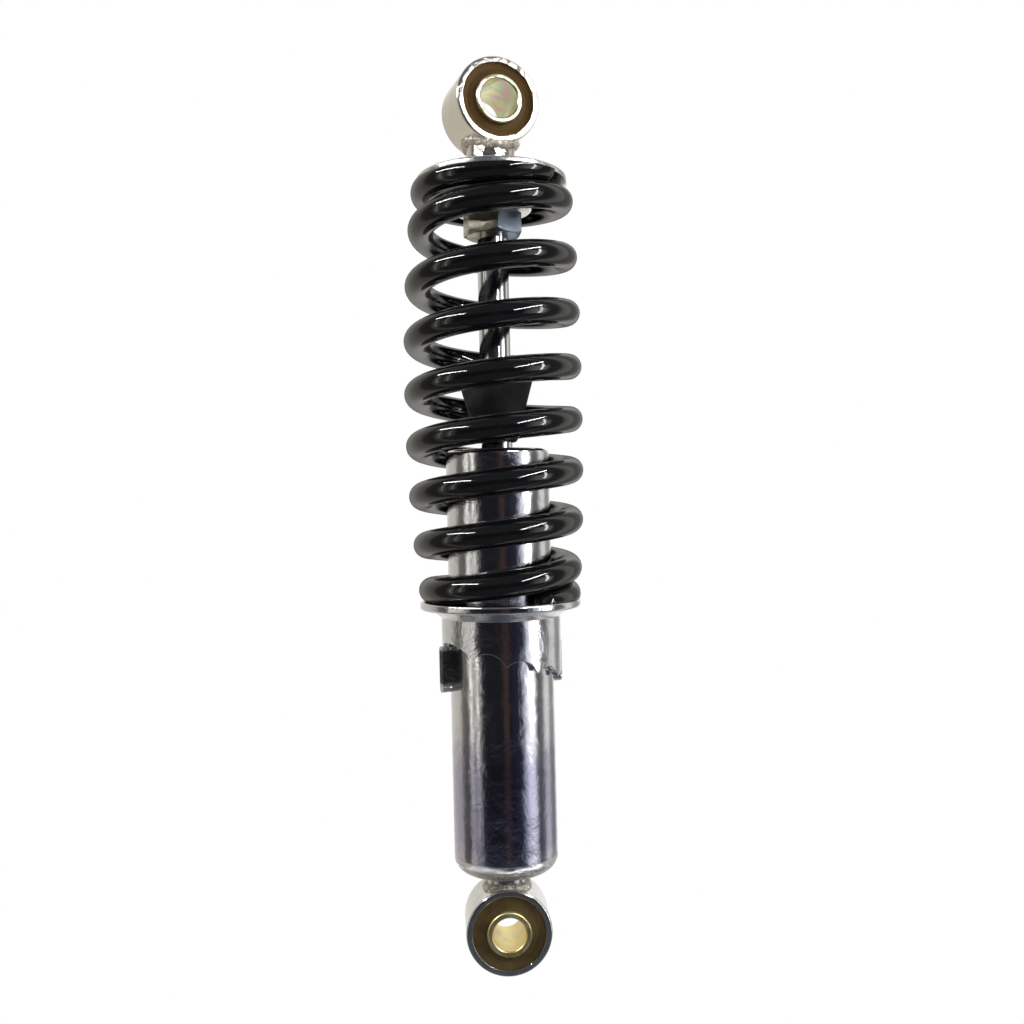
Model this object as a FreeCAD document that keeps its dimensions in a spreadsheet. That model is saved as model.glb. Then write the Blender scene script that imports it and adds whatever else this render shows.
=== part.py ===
"""Rear shock absorber: a twin-tube damper with an outer coil spring between two bushed eyes.

Origin at the centre of the lower eye's bore, +Z up the rod towards the upper eye, and the
lower bore along Y with -Y the front. Millimetres. Pieces are drawn at full extension with
the preload collar in its softest notch.
"""
import FreeCAD, Part
import Sketcher
import math
import os

V = FreeCAD.Vector

# Every driving size, by name. Heights named z_... are above the lower eye's bore.
SIZES = {
    # eyes, bushes and sleeves
    "eye_to_eye": 260.0,
    "eye_dia": 27.0,
    "eye_wall": 1.9,
    "eye_width": 17.8,
    "eye_edge_round": 0.7,
    "upper_eye_turn": 16.0,
    "neck_dia": 12.5,
    "upper_neck_wall": 2.7,
    "bush_recess": 1.0,
    "bush_dish": 1.6,
    "lower_sleeve_dia": 14.0,
    "lower_sleeve_bore": 10.4,
    "upper_sleeve_dia": 15.2,
    "upper_sleeve_bore": 12.2,
    "sleeve_length": 19.7,
    "sleeve_chamfer": 0.3,
    "running_gap": 0.05,
    # damper tube and what closes it
    "tube_dia": 33.0,
    "tube_wall": 1.5,
    "z_tube_top": 151.0,
    "tube_lip": 3.0,
    "tube_roll_round": 1.35,
    "z_base": 17.8,
    "base_height": 5.3,
    "base_round": 4.8,
    "base_spigot": 3.0,
    "cap_thick": 1.4,
    "cap_rod_gap": 0.8,
    "seal_height": 4.2,
    "seal_dia": 24.0,
    "seal_lip_wall": 1.2,
    "seal_lip_pocket": 2.3,
    "seal_web": 1.8,
    "guide_height": 10.6,
    "guide_skirt": 3.9,
    "guide_bush_wall": 1.2,
    "guide_bush_inset": 0.5,
    "oring_wire": 2.0,
    "oring_groove_depth": 1.8,
    "oring_gap": 0.02,
    # working cylinder and foot valve
    "cylinder_bore": 20.0,
    "cylinder_wall": 1.2,
    "foot_height": 9.0,
    "foot_spigot": 4.0,
    "foot_relief_dia": 16.0,
    "foot_relief_depth": 2.0,
    "foot_slot_width": 4.0,
    "foot_hole_dia": 2.0,
    "foot_hole_circle": 11.0,
    "foot_disc_dia": 16.0,
    "foot_disc_thick": 0.4,
    "foot_stem_dia": 4.0,
    "foot_head_dia": 8.0,
    "foot_head_height": 1.6,
    # rod and piston
    "rod_dia": 10.0,
    "rod_chamfer": 0.8,
    "rod_tail_dia": 7.0,
    "rod_tail_chamfer": 0.5,
    "rod_tail_end": 1.0,
    "piston_height": 10.0,
    "piston_gap": 0.4,
    "piston_hole_dia": 2.2,
    "piston_hole_circle": 12.7,
    "piston_band": 4.0,
    "piston_band_thick": 1.2,
    "valve_disc_thick": 0.5,
    "valve_disc_dia": 16.5,
    "piston_nut_width": 11.0,
    "piston_nut_height": 5.5,
    "rebound_stop_height": 12.0,
    "rebound_stop_dia": 16.0,
    "stop_gap": 0.3,
    # upper seat, lock nut and bump stop
    "z_upper_seat": 235.4,
    "upper_seat_inset": 1.45,
    "upper_seat_thick": 2.0,
    "upper_seat_round": 0.8,
    "hub_dia": 26.2,
    "hub_depth": 8.4,
    "hub_floor": 1.9,
    "hub_round": 1.5,
    "seat_rod_gap": 0.4,
    "lock_nut_width": 17.0,
    "lock_nut_height": 8.0,
    "lock_nut_turn": -22.0,
    "bump_top_wall": 6.95,
    "bump_tip_wall": 1.15,
    "bump_height": 21.2,
    "bump_lift": 2.4,
    "bump_bore_gap": 0.3,
    "bump_edge_round": 1.4,
    # lower seat, preload collar and its stops
    "z_lower_seat": 103.5,
    "lower_seat_margin": 0.1,
    "lower_seat_thick": 2.6,
    "lower_seat_round": 0.8,
    "collar_gap": 0.3,
    "collar_wall": 2.15,
    "collar_flare": 3.0,
    "collar_flare_height": 2.7,
    "collar_flare_rim": 0.4,
    "z_first_notch": 90.85,
    "notch_step": 2.45,
    "notch_hook": 1.45,
    "notch_wall_drop": 0.6,
    "notch_pitch_deg": 31.5,
    "first_tip_deg": 37.5,
    "first_wall_deg": 11.0,
    "notch_top_deg": 10.0,
    "lug_turn_deg": -68.0,
    "lug_width": 3.1,
    "lug_height": 14.4,
    "lug_depth": 4.4,
    "lug_notch_gap": 0.9,
    # spring
    "wire_dia": 8.2,
    "spring_gap": 0.8,
    "spring_barrel": 5.7,
    "spring_bow": 0.85,
    "spring_half_turns": 15.5,
    "spring_touch_gap": 0.1,
}
NOTCHES_AFTER_FIRST = 4
PISTON_HOLES = 6
FOOT_HOLES = 4

# A nut's chamfer cones, as shares of its width over flats: on its faces and at mid height.
NUT_FACE = 0.95
NUT_WAIST = 1.75

# How near an edge's radius and height must be to the ones sought, in millimetres.
EDGE_NEAR = 0.001

# The spring's form: where its wire starts about Z, how many half turns each end runs on past its
# contact, how finely its path is laid out, how much closer its lower coils stand, and how full its
# barrel is.
SPRING_START_DEG = 266.0
SPRING_TAIL = 1.4
POINTS_PER_HALF_TURN = 8
SPRING_LEAN = 0.1
BARREL_POWER = 2.3
# Shares of the wire's diameter: the centre's height over the seat on the ground flat, and its rise
# over the first half turn, which starts at this share of an even climb.
GROUND_HEIGHT = 0.42
FIRST_RISE = 0.8
FIRST_SLOPE = 0.2

# Heights and diameters that several pieces share, as formulas; @name stands for a cell.
TUBE_BORE = "@tube_dia - 2 * @tube_wall"
TUBE_FOOT = "@z_base + @base_height"
CAP_FOOT = "@z_tube_top - @tube_wall - @cap_thick"
SEAL_FOOT = f"{CAP_FOOT} - @seal_height"
GUIDE_FOOT = f"{SEAL_FOOT} - @guide_height"
CYLINDER_DIA = "@cylinder_bore + 2 * @cylinder_wall"
CYLINDER_TOP = f"{GUIDE_FOOT} + @guide_skirt"
FOOT_VALVE_FOOT = f"{TUBE_FOOT} + @base_spigot"
CYLINDER_FOOT = f"{FOOT_VALVE_FOOT} + @foot_height - @foot_spigot"
HUB_FOOT = "@z_upper_seat - @hub_depth"
ROD_TOP = "(@eye_to_eye - @eye_dia / 2)"
STOP_TOP = f"{GUIDE_FOOT} - @stop_gap"
PISTON_TOP = f"{STOP_TOP} - @rebound_stop_height - @valve_disc_thick"
PISTON_FOOT = f"{PISTON_TOP} - @piston_height"
PISTON_DIA = "@cylinder_bore - @piston_gap"
PISTON_NUT_FOOT = f"{PISTON_FOOT} - @valve_disc_thick - @piston_nut_height"

# Diameters built outwards from the tube or the rod, so that what goes round them still clears them.
# The spring's diameters are across the middle of its wire.
UPPER_NECK_DIA = "@rod_dia + 2 * @upper_neck_wall"
BUMP_BORE = "@rod_dia + 2 * @bump_bore_gap"
BUMP_TIP_DIA = f"{BUMP_BORE} + 2 * @bump_tip_wall"
BUMP_TOP_DIA = f"{BUMP_BORE} + 2 * @bump_top_wall"
COLLAR_BORE = "@tube_dia + 2 * @collar_gap"
COLLAR_DIA = f"{COLLAR_BORE} + 2 * @collar_wall"
FLARE_DIA = f"{COLLAR_DIA} + 2 * @collar_flare"
LUG_DIA = "@tube_dia + 2 * @lug_depth"
SPRING_END_DIA = "@tube_dia + 2 * @spring_gap + @wire_dia"
SPRING_MID_DIA = f"{SPRING_END_DIA} + @spring_barrel"
LOWER_SEAT_DIA = f"{SPRING_END_DIA} + @wire_dia + 2 * @lower_seat_margin"
UPPER_SEAT_DIA = f"{SPRING_END_DIA} + @wire_dia - 2 * @upper_seat_inset"


def make_sheet(doc):
    """The driving sizes, one row each: name in column A and value in column B."""
    sheet = doc.addObject("Spreadsheet::Sheet", "Sizes")
    for row, (name, value) in enumerate(SIZES.items(), start=1):
        sheet.set(f"A{row}", name)
        sheet.set(f"B{row}", str(value))
        sheet.setAlias(f"B{row}", name)
    doc.recompute()
    return sheet


doc = FreeCAD.newDocument("rear_shock")
sheet = make_sheet(doc)
nodes = {}


def size(name):
    """A driving size's present value."""
    return float(sheet.get(name))


def value(formula):
    """The value of a sum of @names and plain numbers, each with an optional plain factor."""
    total = 0.0
    for term in formula.strip("()").replace("- ", "+ -").split("+"):
        product = 1.0
        for factor in term.split("*"):
            bare = factor.strip().lstrip("-")
            product *= size(bare[1:]) if bare.startswith("@") else float(bare)
        total += -product if term.strip().startswith("-") else product
    return total


def bind(obj, prop, formula):
    """Tie a property to the sheet; @name in a formula stands for a cell of the sheet."""
    obj.setExpression(prop, formula.replace("@", "Sizes."))


def add_node(obj, name):
    """Keep an object as one of the object's pieces, under the name of its file."""
    obj.Label = name
    nodes[name] = obj
    return obj


def upright_turn(turn):
    """A turn about Z by a formula's angle in degrees."""
    return FreeCAD.Rotation(V(0, 0, 1), value(turn))


def at_height(obj, formula):
    bind(obj, "Placement.Base.z", formula)


def cylinder(name, dia, height, z):
    """A round bar on the Z axis."""
    obj = doc.addObject("Part::Cylinder", name)
    bind(obj, "Radius", f"({dia}) / 2")
    bind(obj, "Height", height)
    at_height(obj, z)
    return obj


def cone(name, dia_low, dia_high, height, z):
    obj = doc.addObject("Part::Cone", name)
    bind(obj, "Radius1", f"({dia_low}) / 2")
    bind(obj, "Radius2", f"({dia_high}) / 2")
    bind(obj, "Height", height)
    at_height(obj, z)
    return obj


def cut(name, base, tool):
    obj = doc.addObject("Part::Cut", name)
    obj.Base, obj.Tool = base, tool
    return obj


def fuse(name, *parts):
    obj = doc.addObject("Part::MultiFuse", name)
    obj.Shapes = list(parts)
    obj.Refine = True
    return obj


def common(name, base, tool):
    obj = doc.addObject("Part::Common", name)
    obj.Base, obj.Tool = base, tool
    return obj


def ring(name, outer, inner, height, z):
    """A plain ring or tube on the Z axis."""
    solid = cylinder(f"{name}_outer", outer, height, z)
    hole = cylinder(f"{name}_bore", inner, height, z)
    return cut(f"{name}_ring", solid, hole)


def hole_circle(name, dia, circle, height, z, count):
    """Upright holes spaced evenly on a circle, as cutters."""
    cutters = []
    for i in range(count):
        angle = 2 * math.pi * i / count
        pin = cylinder(f"{name}_{i}", dia, height, z)
        bind(pin, "Placement.Base.x", f"({circle}) / 2 * {math.cos(angle):.6f}")
        bind(pin, "Placement.Base.y", f"({circle}) / 2 * {math.sin(angle):.6f}")
        cutters.append(pin)
    return cutters


def drilled(name, base, cutters):
    for i, pin in enumerate(cutters):
        base = cut(f"{name}_drilled_{i}", base, pin)
    return base


def origin_plane(body, role):
    return next(f for f in body.Origin.OriginFeatures if f.Role == role)


def new_sketch(body, name, role="XZ_Plane"):
    sketch = body.newObject("Sketcher::SketchObject", name)
    sketch.AttachmentSupport = [(origin_plane(body, role), "")]
    sketch.MapMode = "FlatFace"
    return sketch


def draw_outline(sketch, corners):
    """A closed outline of straight edges; each corner is a pair of formulas (across, up).

    The corners are first drawn roughly apart, and the constraints then carry them to their places.
    """
    count = len(corners)
    rough = [V(10 + i, i * i % 7, 0) for i in range(count)]
    for i in range(count):
        sketch.addGeometry(Part.LineSegment(rough[i], rough[(i + 1) % count]), False)
    for i in range(count):
        sketch.addConstraint(Sketcher.Constraint("Coincident", i, 2, (i + 1) % count, 1))
    for i, (across, up) in enumerate(corners):
        for kind, formula in (("DistanceX", across), ("DistanceY", up)):
            index = sketch.addConstraint(Sketcher.Constraint(kind, -1, 1, i, 1, 1.0 + i))
            bind(sketch, f"Constraints[{index}]", formula)


def turned(name, corners):
    """A body turned about Z from an outline of (radius, height) formulas."""
    body = doc.addObject("PartDesign::Body", name)
    sketch = new_sketch(body, f"{name}_profile")
    draw_outline(sketch, corners)
    turn = body.newObject("PartDesign::Revolution", f"{name}_turn")
    turn.Profile = sketch
    turn.ReferenceAxis = (sketch, ["V_Axis"])
    turn.Angle = 360.0
    sketch.Visibility = False
    doc.recompute()
    return body


def circle_edges(shape, radius, height):
    """Names of a shape's round edges of one radius at one height."""
    found = []
    for i, edge in enumerate(shape.Edges, start=1):
        curve = edge.Curve
        if isinstance(curve, Part.Circle) and abs(curve.Radius - radius) < EDGE_NEAR:
            if abs(curve.Center.z - height) < EDGE_NEAR:
                found.append(f"Edge{i}")
    return found


def round_edges(body, name, radius_height, formula):
    """Round a turned body's circular edges, given as (radius, height) in millimetres."""
    base = body.Tip
    edges = [edge for radius, height in radius_height
             for edge in circle_edges(base.Shape, radius, height)]
    if not edges:
        raise RuntimeError(f"{name}: no edge to round")
    fillet = body.newObject("PartDesign::Fillet", name)
    fillet.Base = (base, edges)
    bind(fillet, "Radius", formula)
    doc.recompute()
    return fillet


def lay_on_y(obj, z, turn="0", back="0"):
    """Lay a piece drawn about Z along Y at a height, turned about Z and moved back on its axis."""
    lie_down = FreeCAD.Rotation(V(1, 0, 0), 90)
    obj.Placement = FreeCAD.Placement(V(0, 0, 0), upright_turn(turn).multiply(lie_down))
    bind(obj, "Placement.Base.x", f"-sin({turn}) * ({back})")
    bind(obj, "Placement.Base.y", f"cos({turn}) * ({back})")
    at_height(obj, z)
    return obj


# ---- eyes, bushes and sleeves ----

def eye_barrel(name, z, turn):
    """The round barrel of an eye, with softened outer edges."""
    half = "@eye_width / 2"
    inner = "@eye_dia / 2 - @eye_wall"
    barrel = turned(f"{name}_barrel", [(inner, f"-{half}"), ("@eye_dia / 2", f"-{half}"),
                                       ("@eye_dia / 2", half), (inner, half)])
    radius, edge = size("eye_dia") / 2, size("eye_width") / 2
    round_edges(barrel, f"{name}_barrel_round", [(radius, edge), (radius, -edge)], "@eye_edge_round")
    return lay_on_y(barrel, z, turn)


def make_eye(name, z, turn, neck):
    """An eye with its neck, which stops inside the barrel's wall so that the bore stays open."""
    bore = cylinder(f"{name}_bore", "@eye_dia - 2 * @eye_wall", "@eye_width", "0")
    lay_on_y(bore, z, turn, back="@eye_width / 2")
    trimmed_neck = cut(f"{name}_neck_trim", neck, bore)
    return fuse(name, eye_barrel(name, z, turn), trimmed_neck)


def make_lower_eye():
    neck = cylinder("lower_neck", "@neck_dia", "@z_base", "0")
    add_node(make_eye("lower_eye_solid", "0", "0", neck), "lower_eye")


def make_upper_eye():
    """The upper eye's neck runs down into the seat's hub and is bored for the rod."""
    neck_foot = f"({HUB_FOOT} + @hub_floor)"
    neck = cylinder("upper_neck", UPPER_NECK_DIA, f"@eye_to_eye - {neck_foot}", neck_foot)
    eye = make_eye("upper_eye_solid", "@eye_to_eye", "@upper_eye_turn", neck)
    bore = cylinder("upper_eye_rod_hole", "@rod_dia", f"{ROD_TOP} - ({HUB_FOOT})", HUB_FOOT)
    add_node(cut("upper_eye_bored", eye, bore), "upper_eye")


def make_bush(side, z, turn):
    """Rubber ring bonded in the eye, its faces dished below the eye's edge."""
    half = "@eye_width / 2"
    rim = "@eye_dia / 2 - @eye_wall"
    bore = f"@{side}_sleeve_dia / 2 + @running_gap"
    middle = f"({rim} + {bore}) / 2"
    edge, dish = f"({half} - @bush_recess)", f"({half} - @bush_dish)"
    bush = turned(f"{side}_bush_rubber", [
        (bore, f"-{edge}"), (middle, f"-{dish}"), (rim, f"-{edge}"),
        (rim, edge), (middle, dish), (bore, edge)])
    add_node(lay_on_y(bush, z, turn), f"{side}_bush")


def make_sleeve(side, z, turn):
    """Steel sleeve for the mounting bolt, its bore and rim chamfered at both ends."""
    bore, outer = f"@{side}_sleeve_bore / 2", f"@{side}_sleeve_dia / 2"
    face, shoulder = "(@sleeve_length / 2)", "(@sleeve_length / 2 - @sleeve_chamfer)"
    bore_mouth, rim = f"{bore} + @sleeve_chamfer", f"{outer} - @sleeve_chamfer"
    sleeve = turned(f"{side}_sleeve_steel", [
        (bore, f"-{shoulder}"), (bore_mouth, f"-{face}"), (rim, f"-{face}"), (outer, f"-{shoulder}"),
        (outer, shoulder), (rim, face), (bore_mouth, face), (bore, shoulder)])
    add_node(lay_on_y(sleeve, z, turn), f"{side}_sleeve")


# ---- damper tube, base and head ----

def make_damper_tube():
    """Outer tube, rolled over the cap at the top."""
    outer, inner = "@tube_dia / 2", "@tube_dia / 2 - @tube_wall"
    lip = "@tube_dia / 2 - @tube_wall - @tube_lip"
    tube = turned("damper_tube_wall", [
        (inner, TUBE_FOOT), (outer, TUBE_FOOT), (outer, "@z_tube_top"), (lip, "@z_tube_top"),
        (lip, "@z_tube_top - @tube_wall"), (inner, "@z_tube_top - @tube_wall")])
    round_edges(tube, "damper_tube_roll", [(size("tube_dia") / 2, size("z_tube_top"))], "@tube_roll_round")
    add_node(tube, "damper_tube")


def make_base_cup():
    """Pressed base that closes the tube; its outer edge is well rounded."""
    outer, spigot = "@tube_dia / 2", f"({TUBE_BORE}) / 2"
    base = turned("base_cup_press", [
        ("0", "@z_base"), (outer, "@z_base"), (outer, TUBE_FOOT), (spigot, TUBE_FOOT),
        (spigot, f"{TUBE_FOOT} + @base_spigot"), ("0", f"{TUBE_FOOT} + @base_spigot")])
    round_edges(base, "base_cup_round", [(size("tube_dia") / 2, size("z_base"))], "@base_round")
    add_node(base, "base_cup")


def make_inner_cylinder():
    height = f"{CYLINDER_TOP} - ({CYLINDER_FOOT})"
    add_node(ring("cylinder", CYLINDER_DIA, "@cylinder_bore", height, CYLINDER_FOOT), "inner_cylinder")


def make_foot_valve():
    """Valve body between the base and the working cylinder, with its disc and stem."""
    flange = cylinder("foot_flange", CYLINDER_DIA, "@foot_height - @foot_spigot", FOOT_VALVE_FOOT)
    spigot = cylinder("foot_plug", "@cylinder_bore", "@foot_height", FOOT_VALVE_FOOT)
    blank = fuse("foot_blank", flange, spigot)
    relief = cylinder("foot_relief", "@foot_relief_dia", "@foot_relief_depth", FOOT_VALVE_FOOT)
    across = doc.addObject("Part::Box", "foot_slot")
    bind(across, "Length", CYLINDER_DIA)
    bind(across, "Width", "@foot_slot_width")
    bind(across, "Height", "@foot_relief_depth")
    bind(across, "Placement.Base.x", f"-({CYLINDER_DIA}) / 2")
    bind(across, "Placement.Base.y", "-@foot_slot_width / 2")
    at_height(across, FOOT_VALVE_FOOT)
    blank = cut("foot_relieved", cut("foot_slotted", blank, across), relief)
    pins = hole_circle("foot_hole", "@foot_hole_dia", "@foot_hole_circle", "@foot_height",
                       FOOT_VALVE_FOOT, FOOT_HOLES)
    stem_hole = cylinder("foot_stem_hole", "@foot_stem_dia", "@foot_height", FOOT_VALVE_FOOT)
    add_node(drilled("foot", blank, pins + [stem_hole]), "foot_valve")
    top = f"{FOOT_VALVE_FOOT} + @foot_height"
    add_node(ring("foot_disc", "@foot_disc_dia", "@foot_stem_dia", "@foot_disc_thick", top),
             "foot_valve_disc")
    stem = cylinder("foot_stem", "@foot_stem_dia", "@foot_height + @foot_disc_thick", FOOT_VALVE_FOOT)
    head = cylinder("foot_stem_head", "@foot_head_dia", "@foot_head_height",
                    f"{top} + @foot_disc_thick")
    add_node(fuse("foot_rivet", stem, head), "foot_valve_rivet")


def make_rod_guide():
    """Guide that centres the cylinder in the tube and holds the rod's bush."""
    outer, cylinder_outer = f"({TUBE_BORE}) / 2", f"({CYLINDER_DIA}) / 2"
    seat = "@rod_dia / 2 + @guide_bush_wall"
    bore = "@cylinder_bore / 2"
    groove_low = f"{GUIDE_FOOT} + @guide_skirt + @oring_wire"
    groove_high = f"{groove_low} + @oring_wire"
    groove = f"{outer} - @oring_groove_depth"
    guide = turned("rod_guide_turned", [
        (seat, GUIDE_FOOT), (bore, GUIDE_FOOT), (bore, CYLINDER_TOP), (cylinder_outer, CYLINDER_TOP),
        (outer, CYLINDER_TOP), (outer, groove_low), (groove, groove_low), (groove, groove_high),
        (outer, groove_high), (outer, SEAL_FOOT), (seat, SEAL_FOOT)])
    add_node(guide, "rod_guide")
    add_node(ring("guide_bush", "@rod_dia + 2 * @guide_bush_wall", "@rod_dia + 2 * @running_gap",
                  "@guide_height - 2 * @guide_bush_inset", f"{GUIDE_FOOT} + @guide_bush_inset"),
             "guide_bush")
    seal_ring = doc.addObject("Part::Torus", "guide_oring")
    bind(seal_ring, "Radius1", f"{outer} - @oring_groove_depth / 2")
    bind(seal_ring, "Radius2", "@oring_groove_depth / 2 - @oring_gap")
    at_height(seal_ring, f"{groove_low} + @oring_wire / 2")
    add_node(seal_ring, "guide_o_ring")


def make_seal_and_cap():
    """Rod seal with a lip reaching up to the rod, and the cap that the tube is rolled over."""
    rod = "@rod_dia / 2 + @running_gap"
    lip = f"{rod} + @seal_lip_wall"
    pocket, pocket_foot = f"{lip} + @seal_lip_pocket", f"{SEAL_FOOT} + @seal_web"
    seal = turned("oil_seal_rubber", [
        (rod, SEAL_FOOT), ("@seal_dia / 2", SEAL_FOOT), ("@seal_dia / 2", CAP_FOOT), (pocket, CAP_FOOT),
        (pocket, pocket_foot), (lip, pocket_foot), (lip, CAP_FOOT), (rod, CAP_FOOT)])
    add_node(seal, "oil_seal")
    add_node(ring("head_cap", TUBE_BORE, "@rod_dia + 2 * @cap_rod_gap", "@cap_thick", CAP_FOOT),
             "head_cap")


# ---- rod and piston ----

def make_rod():
    """Ground rod with a reduced tail for the piston."""
    tail_foot = f"{PISTON_NUT_FOOT} - @rod_tail_end"
    shoulder = f"{PISTON_TOP} + @valve_disc_thick"
    full, tail = "@rod_dia / 2", "@rod_tail_dia / 2"
    rod = turned("rod_ground", [
        ("0", tail_foot), (f"{tail} - @rod_tail_chamfer", tail_foot),
        (tail, f"{tail_foot} + @rod_tail_chamfer"), (tail, shoulder), (full, shoulder),
        (full, f"{ROD_TOP} - @rod_chamfer"), (f"{full} - @rod_chamfer", ROD_TOP), ("0", ROD_TOP)])
    add_node(rod, "piston_rod")


def make_piston():
    """Piston with flow holes, its sealing band, a disc on each face and the nut below."""
    outer, bore = f"({PISTON_DIA}) / 2", "@rod_tail_dia / 2"
    band_low = f"{PISTON_FOOT} + (@piston_height - @piston_band) / 2"
    band_high = f"{band_low} + @piston_band"
    groove = f"{outer} - @piston_band_thick"
    blank = turned("piston_blank", [
        (bore, PISTON_FOOT), (outer, PISTON_FOOT), (outer, band_low), (groove, band_low),
        (groove, band_high), (outer, band_high), (outer, PISTON_TOP), (bore, PISTON_TOP)])
    pins = hole_circle("piston_hole", "@piston_hole_dia", "@piston_hole_circle", "@piston_height",
                       PISTON_FOOT, PISTON_HOLES)
    add_node(drilled("piston", blank, pins), "piston")
    add_node(ring("piston_band", "@cylinder_bore - 2 * @running_gap", f"2 * ({groove})", "@piston_band",
                  band_low), "piston_band")
    disc_top, disc_foot = PISTON_TOP, f"{PISTON_FOOT} - @valve_disc_thick"
    for disc, z in (("check_disc", disc_top), ("bleed_disc", disc_foot)):
        add_node(ring(disc, "@valve_disc_dia", "@rod_tail_dia", "@valve_disc_thick", z), disc)
    add_node(hex_nut("piston_nut", "@piston_nut_width", "@piston_nut_height", "@rod_tail_dia",
                     PISTON_NUT_FOOT), "piston_nut")
    add_node(ring("rebound_stop", "@rebound_stop_dia", "@rod_dia", "@rebound_stop_height",
                  f"{PISTON_TOP} + @valve_disc_thick"), "rebound_stop")


def hex_nut(name, width, height, bore, z, turn="0"):
    """A hexagon nut turned about Z, its corners chamfered top and bottom by a pair of cones.

    Each cone is a little narrower than the flats on the nut's face and far wider at its waist.
    """
    prism = doc.addObject("Part::Prism", f"{name}_hex")
    prism.Polygon = 6
    bind(prism, "Circumradius", f"{width} / 2 / cos(30)")
    bind(prism, "Height", height)
    prism.Placement = FreeCAD.Placement(V(0, 0, 0), upright_turn(turn))
    at_height(prism, z)
    face, waist, rise = f"{width} * {NUT_FACE}", f"{width} * {NUT_WAIST}", f"({height}) / 2"
    lower = cone(f"{name}_lower_chamfer", face, waist, rise, z)
    upper = cone(f"{name}_upper_chamfer", waist, face, rise, f"{z} + {rise}")
    chamfered = common(f"{name}_chamfered", prism, fuse(f"{name}_envelope", lower, upper))
    return cut(f"{name}_solid", chamfered, cylinder(f"{name}_thread", bore, height, z))


# ---- upper seat, lock nut and bump stop ----

def make_upper_seat():
    """Pressed plate with a hub that drops inside the spring and stands on the lock nut."""
    rim, hub = f"({UPPER_SEAT_DIA}) / 2", "@hub_dia / 2"
    inner = "@hub_dia / 2 - @hub_floor"
    top = "@z_upper_seat + @upper_seat_thick"
    hole = "@rod_dia / 2 + @seat_rod_gap"
    seat = turned("upper_seat_press", [
        (hole, HUB_FOOT), (hub, HUB_FOOT), (hub, "@z_upper_seat"), (rim, "@z_upper_seat"), (rim, top),
        (inner, top), (inner, f"{HUB_FOOT} + @hub_floor"), (hole, f"{HUB_FOOT} + @hub_floor")])
    z, rim_radius, hub_radius = size("z_upper_seat"), value(UPPER_SEAT_DIA) / 2, size("hub_dia") / 2
    z_top = z + size("upper_seat_thick")
    round_edges(seat, "upper_seat_rim", [(rim_radius, z_top), (hub_radius - size("hub_floor"), z_top)],
                "@upper_seat_round")
    round_edges(seat, "hub_foot_round", [(hub_radius, z - size("hub_depth"))], "@hub_round")
    add_node(seat, "upper_seat")


def make_lock_nut():
    foot = f"{HUB_FOOT} - @lock_nut_height"
    add_node(hex_nut("lock_nut", "@lock_nut_width", "@lock_nut_height", "@rod_dia", foot,
                     "@lock_nut_turn"), "lock_nut")


def make_bump_stop():
    """Rubber cone on the rod, its wide end up."""
    foot = "@z_tube_top + @bump_lift"
    top = f"{foot} + @bump_height"
    bore, tip, wide = (f"({dia}) / 2" for dia in (BUMP_BORE, BUMP_TIP_DIA, BUMP_TOP_DIA))
    stop = turned("bump_stop_rubber", [(bore, foot), (tip, foot), (wide, top), (bore, top)])
    z = value(foot)
    round_edges(stop, "bump_stop_round", [(value(BUMP_TOP_DIA) / 2, value(top)),
                                          (value(BUMP_TIP_DIA) / 2, z)], "@bump_edge_round")
    add_node(stop, "bump_stop")


# ---- lower seat, preload collar and its stops ----

def make_lower_seat():
    """Flat ring that carries the spring and turns freely on the collar."""
    bore, rim = f"({COLLAR_BORE}) / 2", f"({LOWER_SEAT_DIA}) / 2"
    foot = "@z_lower_seat - @lower_seat_thick"
    seat = turned("lower_seat_ring", [
        (bore, foot), (rim, foot), (rim, "@z_lower_seat"), (bore, "@z_lower_seat")])
    z, radius = size("z_lower_seat"), value(LOWER_SEAT_DIA) / 2
    round_edges(seat, "lower_seat_rim", [(radius, z), (radius, z - size("lower_seat_thick"))],
                "@lower_seat_round")
    add_node(seat, "lower_seat")


def notch_outline(sketch, left, crown, right, foot, overlap_left):
    """One notch seen along a radius: an arc over its crown between two tips, open to the foot.

    Below a tip the cut runs on into its neighbour's, so that no fin stays between them.
    """
    overlap = size("lug_width") / 2
    corners = [right, V(right.x + overlap, right.y, 0), V(right.x + overlap, foot, 0)]
    if overlap_left:
        corners += [V(left.x - overlap, foot, 0), V(left.x - overlap, left.y, 0), left]
    else:
        corners += [V(left.x, foot, 0), left]
    sketch.addGeometry(Part.Arc(right, crown, left), False)
    for start, end in zip(corners, corners[1:]):
        sketch.addGeometry(Part.LineSegment(start, end), False)
    last = len(corners) - 1
    sketch.addConstraint(Sketcher.Constraint("Coincident", 0, 1, 1, 1))
    for i in range(1, last):
        sketch.addConstraint(Sketcher.Constraint("Coincident", i, 2, i + 1, 1))
    sketch.addConstraint(Sketcher.Constraint("Coincident", last, 2, 0, 2))


def notch_rows():
    """Each notch's left wall, crown and right tip: three angles and then their three heights."""
    first_tip, pitch, crown = size("first_tip_deg"), size("notch_pitch_deg"), size("notch_top_deg")
    top, step = size("z_first_notch"), size("notch_step")
    tip_drop = step + size("notch_hook")
    rows = [(-size("first_wall_deg"), 0.0, first_tip, top - size("notch_wall_drop"), top, top - tip_drop)]
    for i in range(NOTCHES_AFTER_FIRST):
        left = first_tip + i * pitch
        left_height = top - tip_drop - i * step
        crown_height = top - (i + 1) * step
        rows.append((left, left + crown, left + pitch, left_height, crown_height, left_height - step))
    return rows


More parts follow.
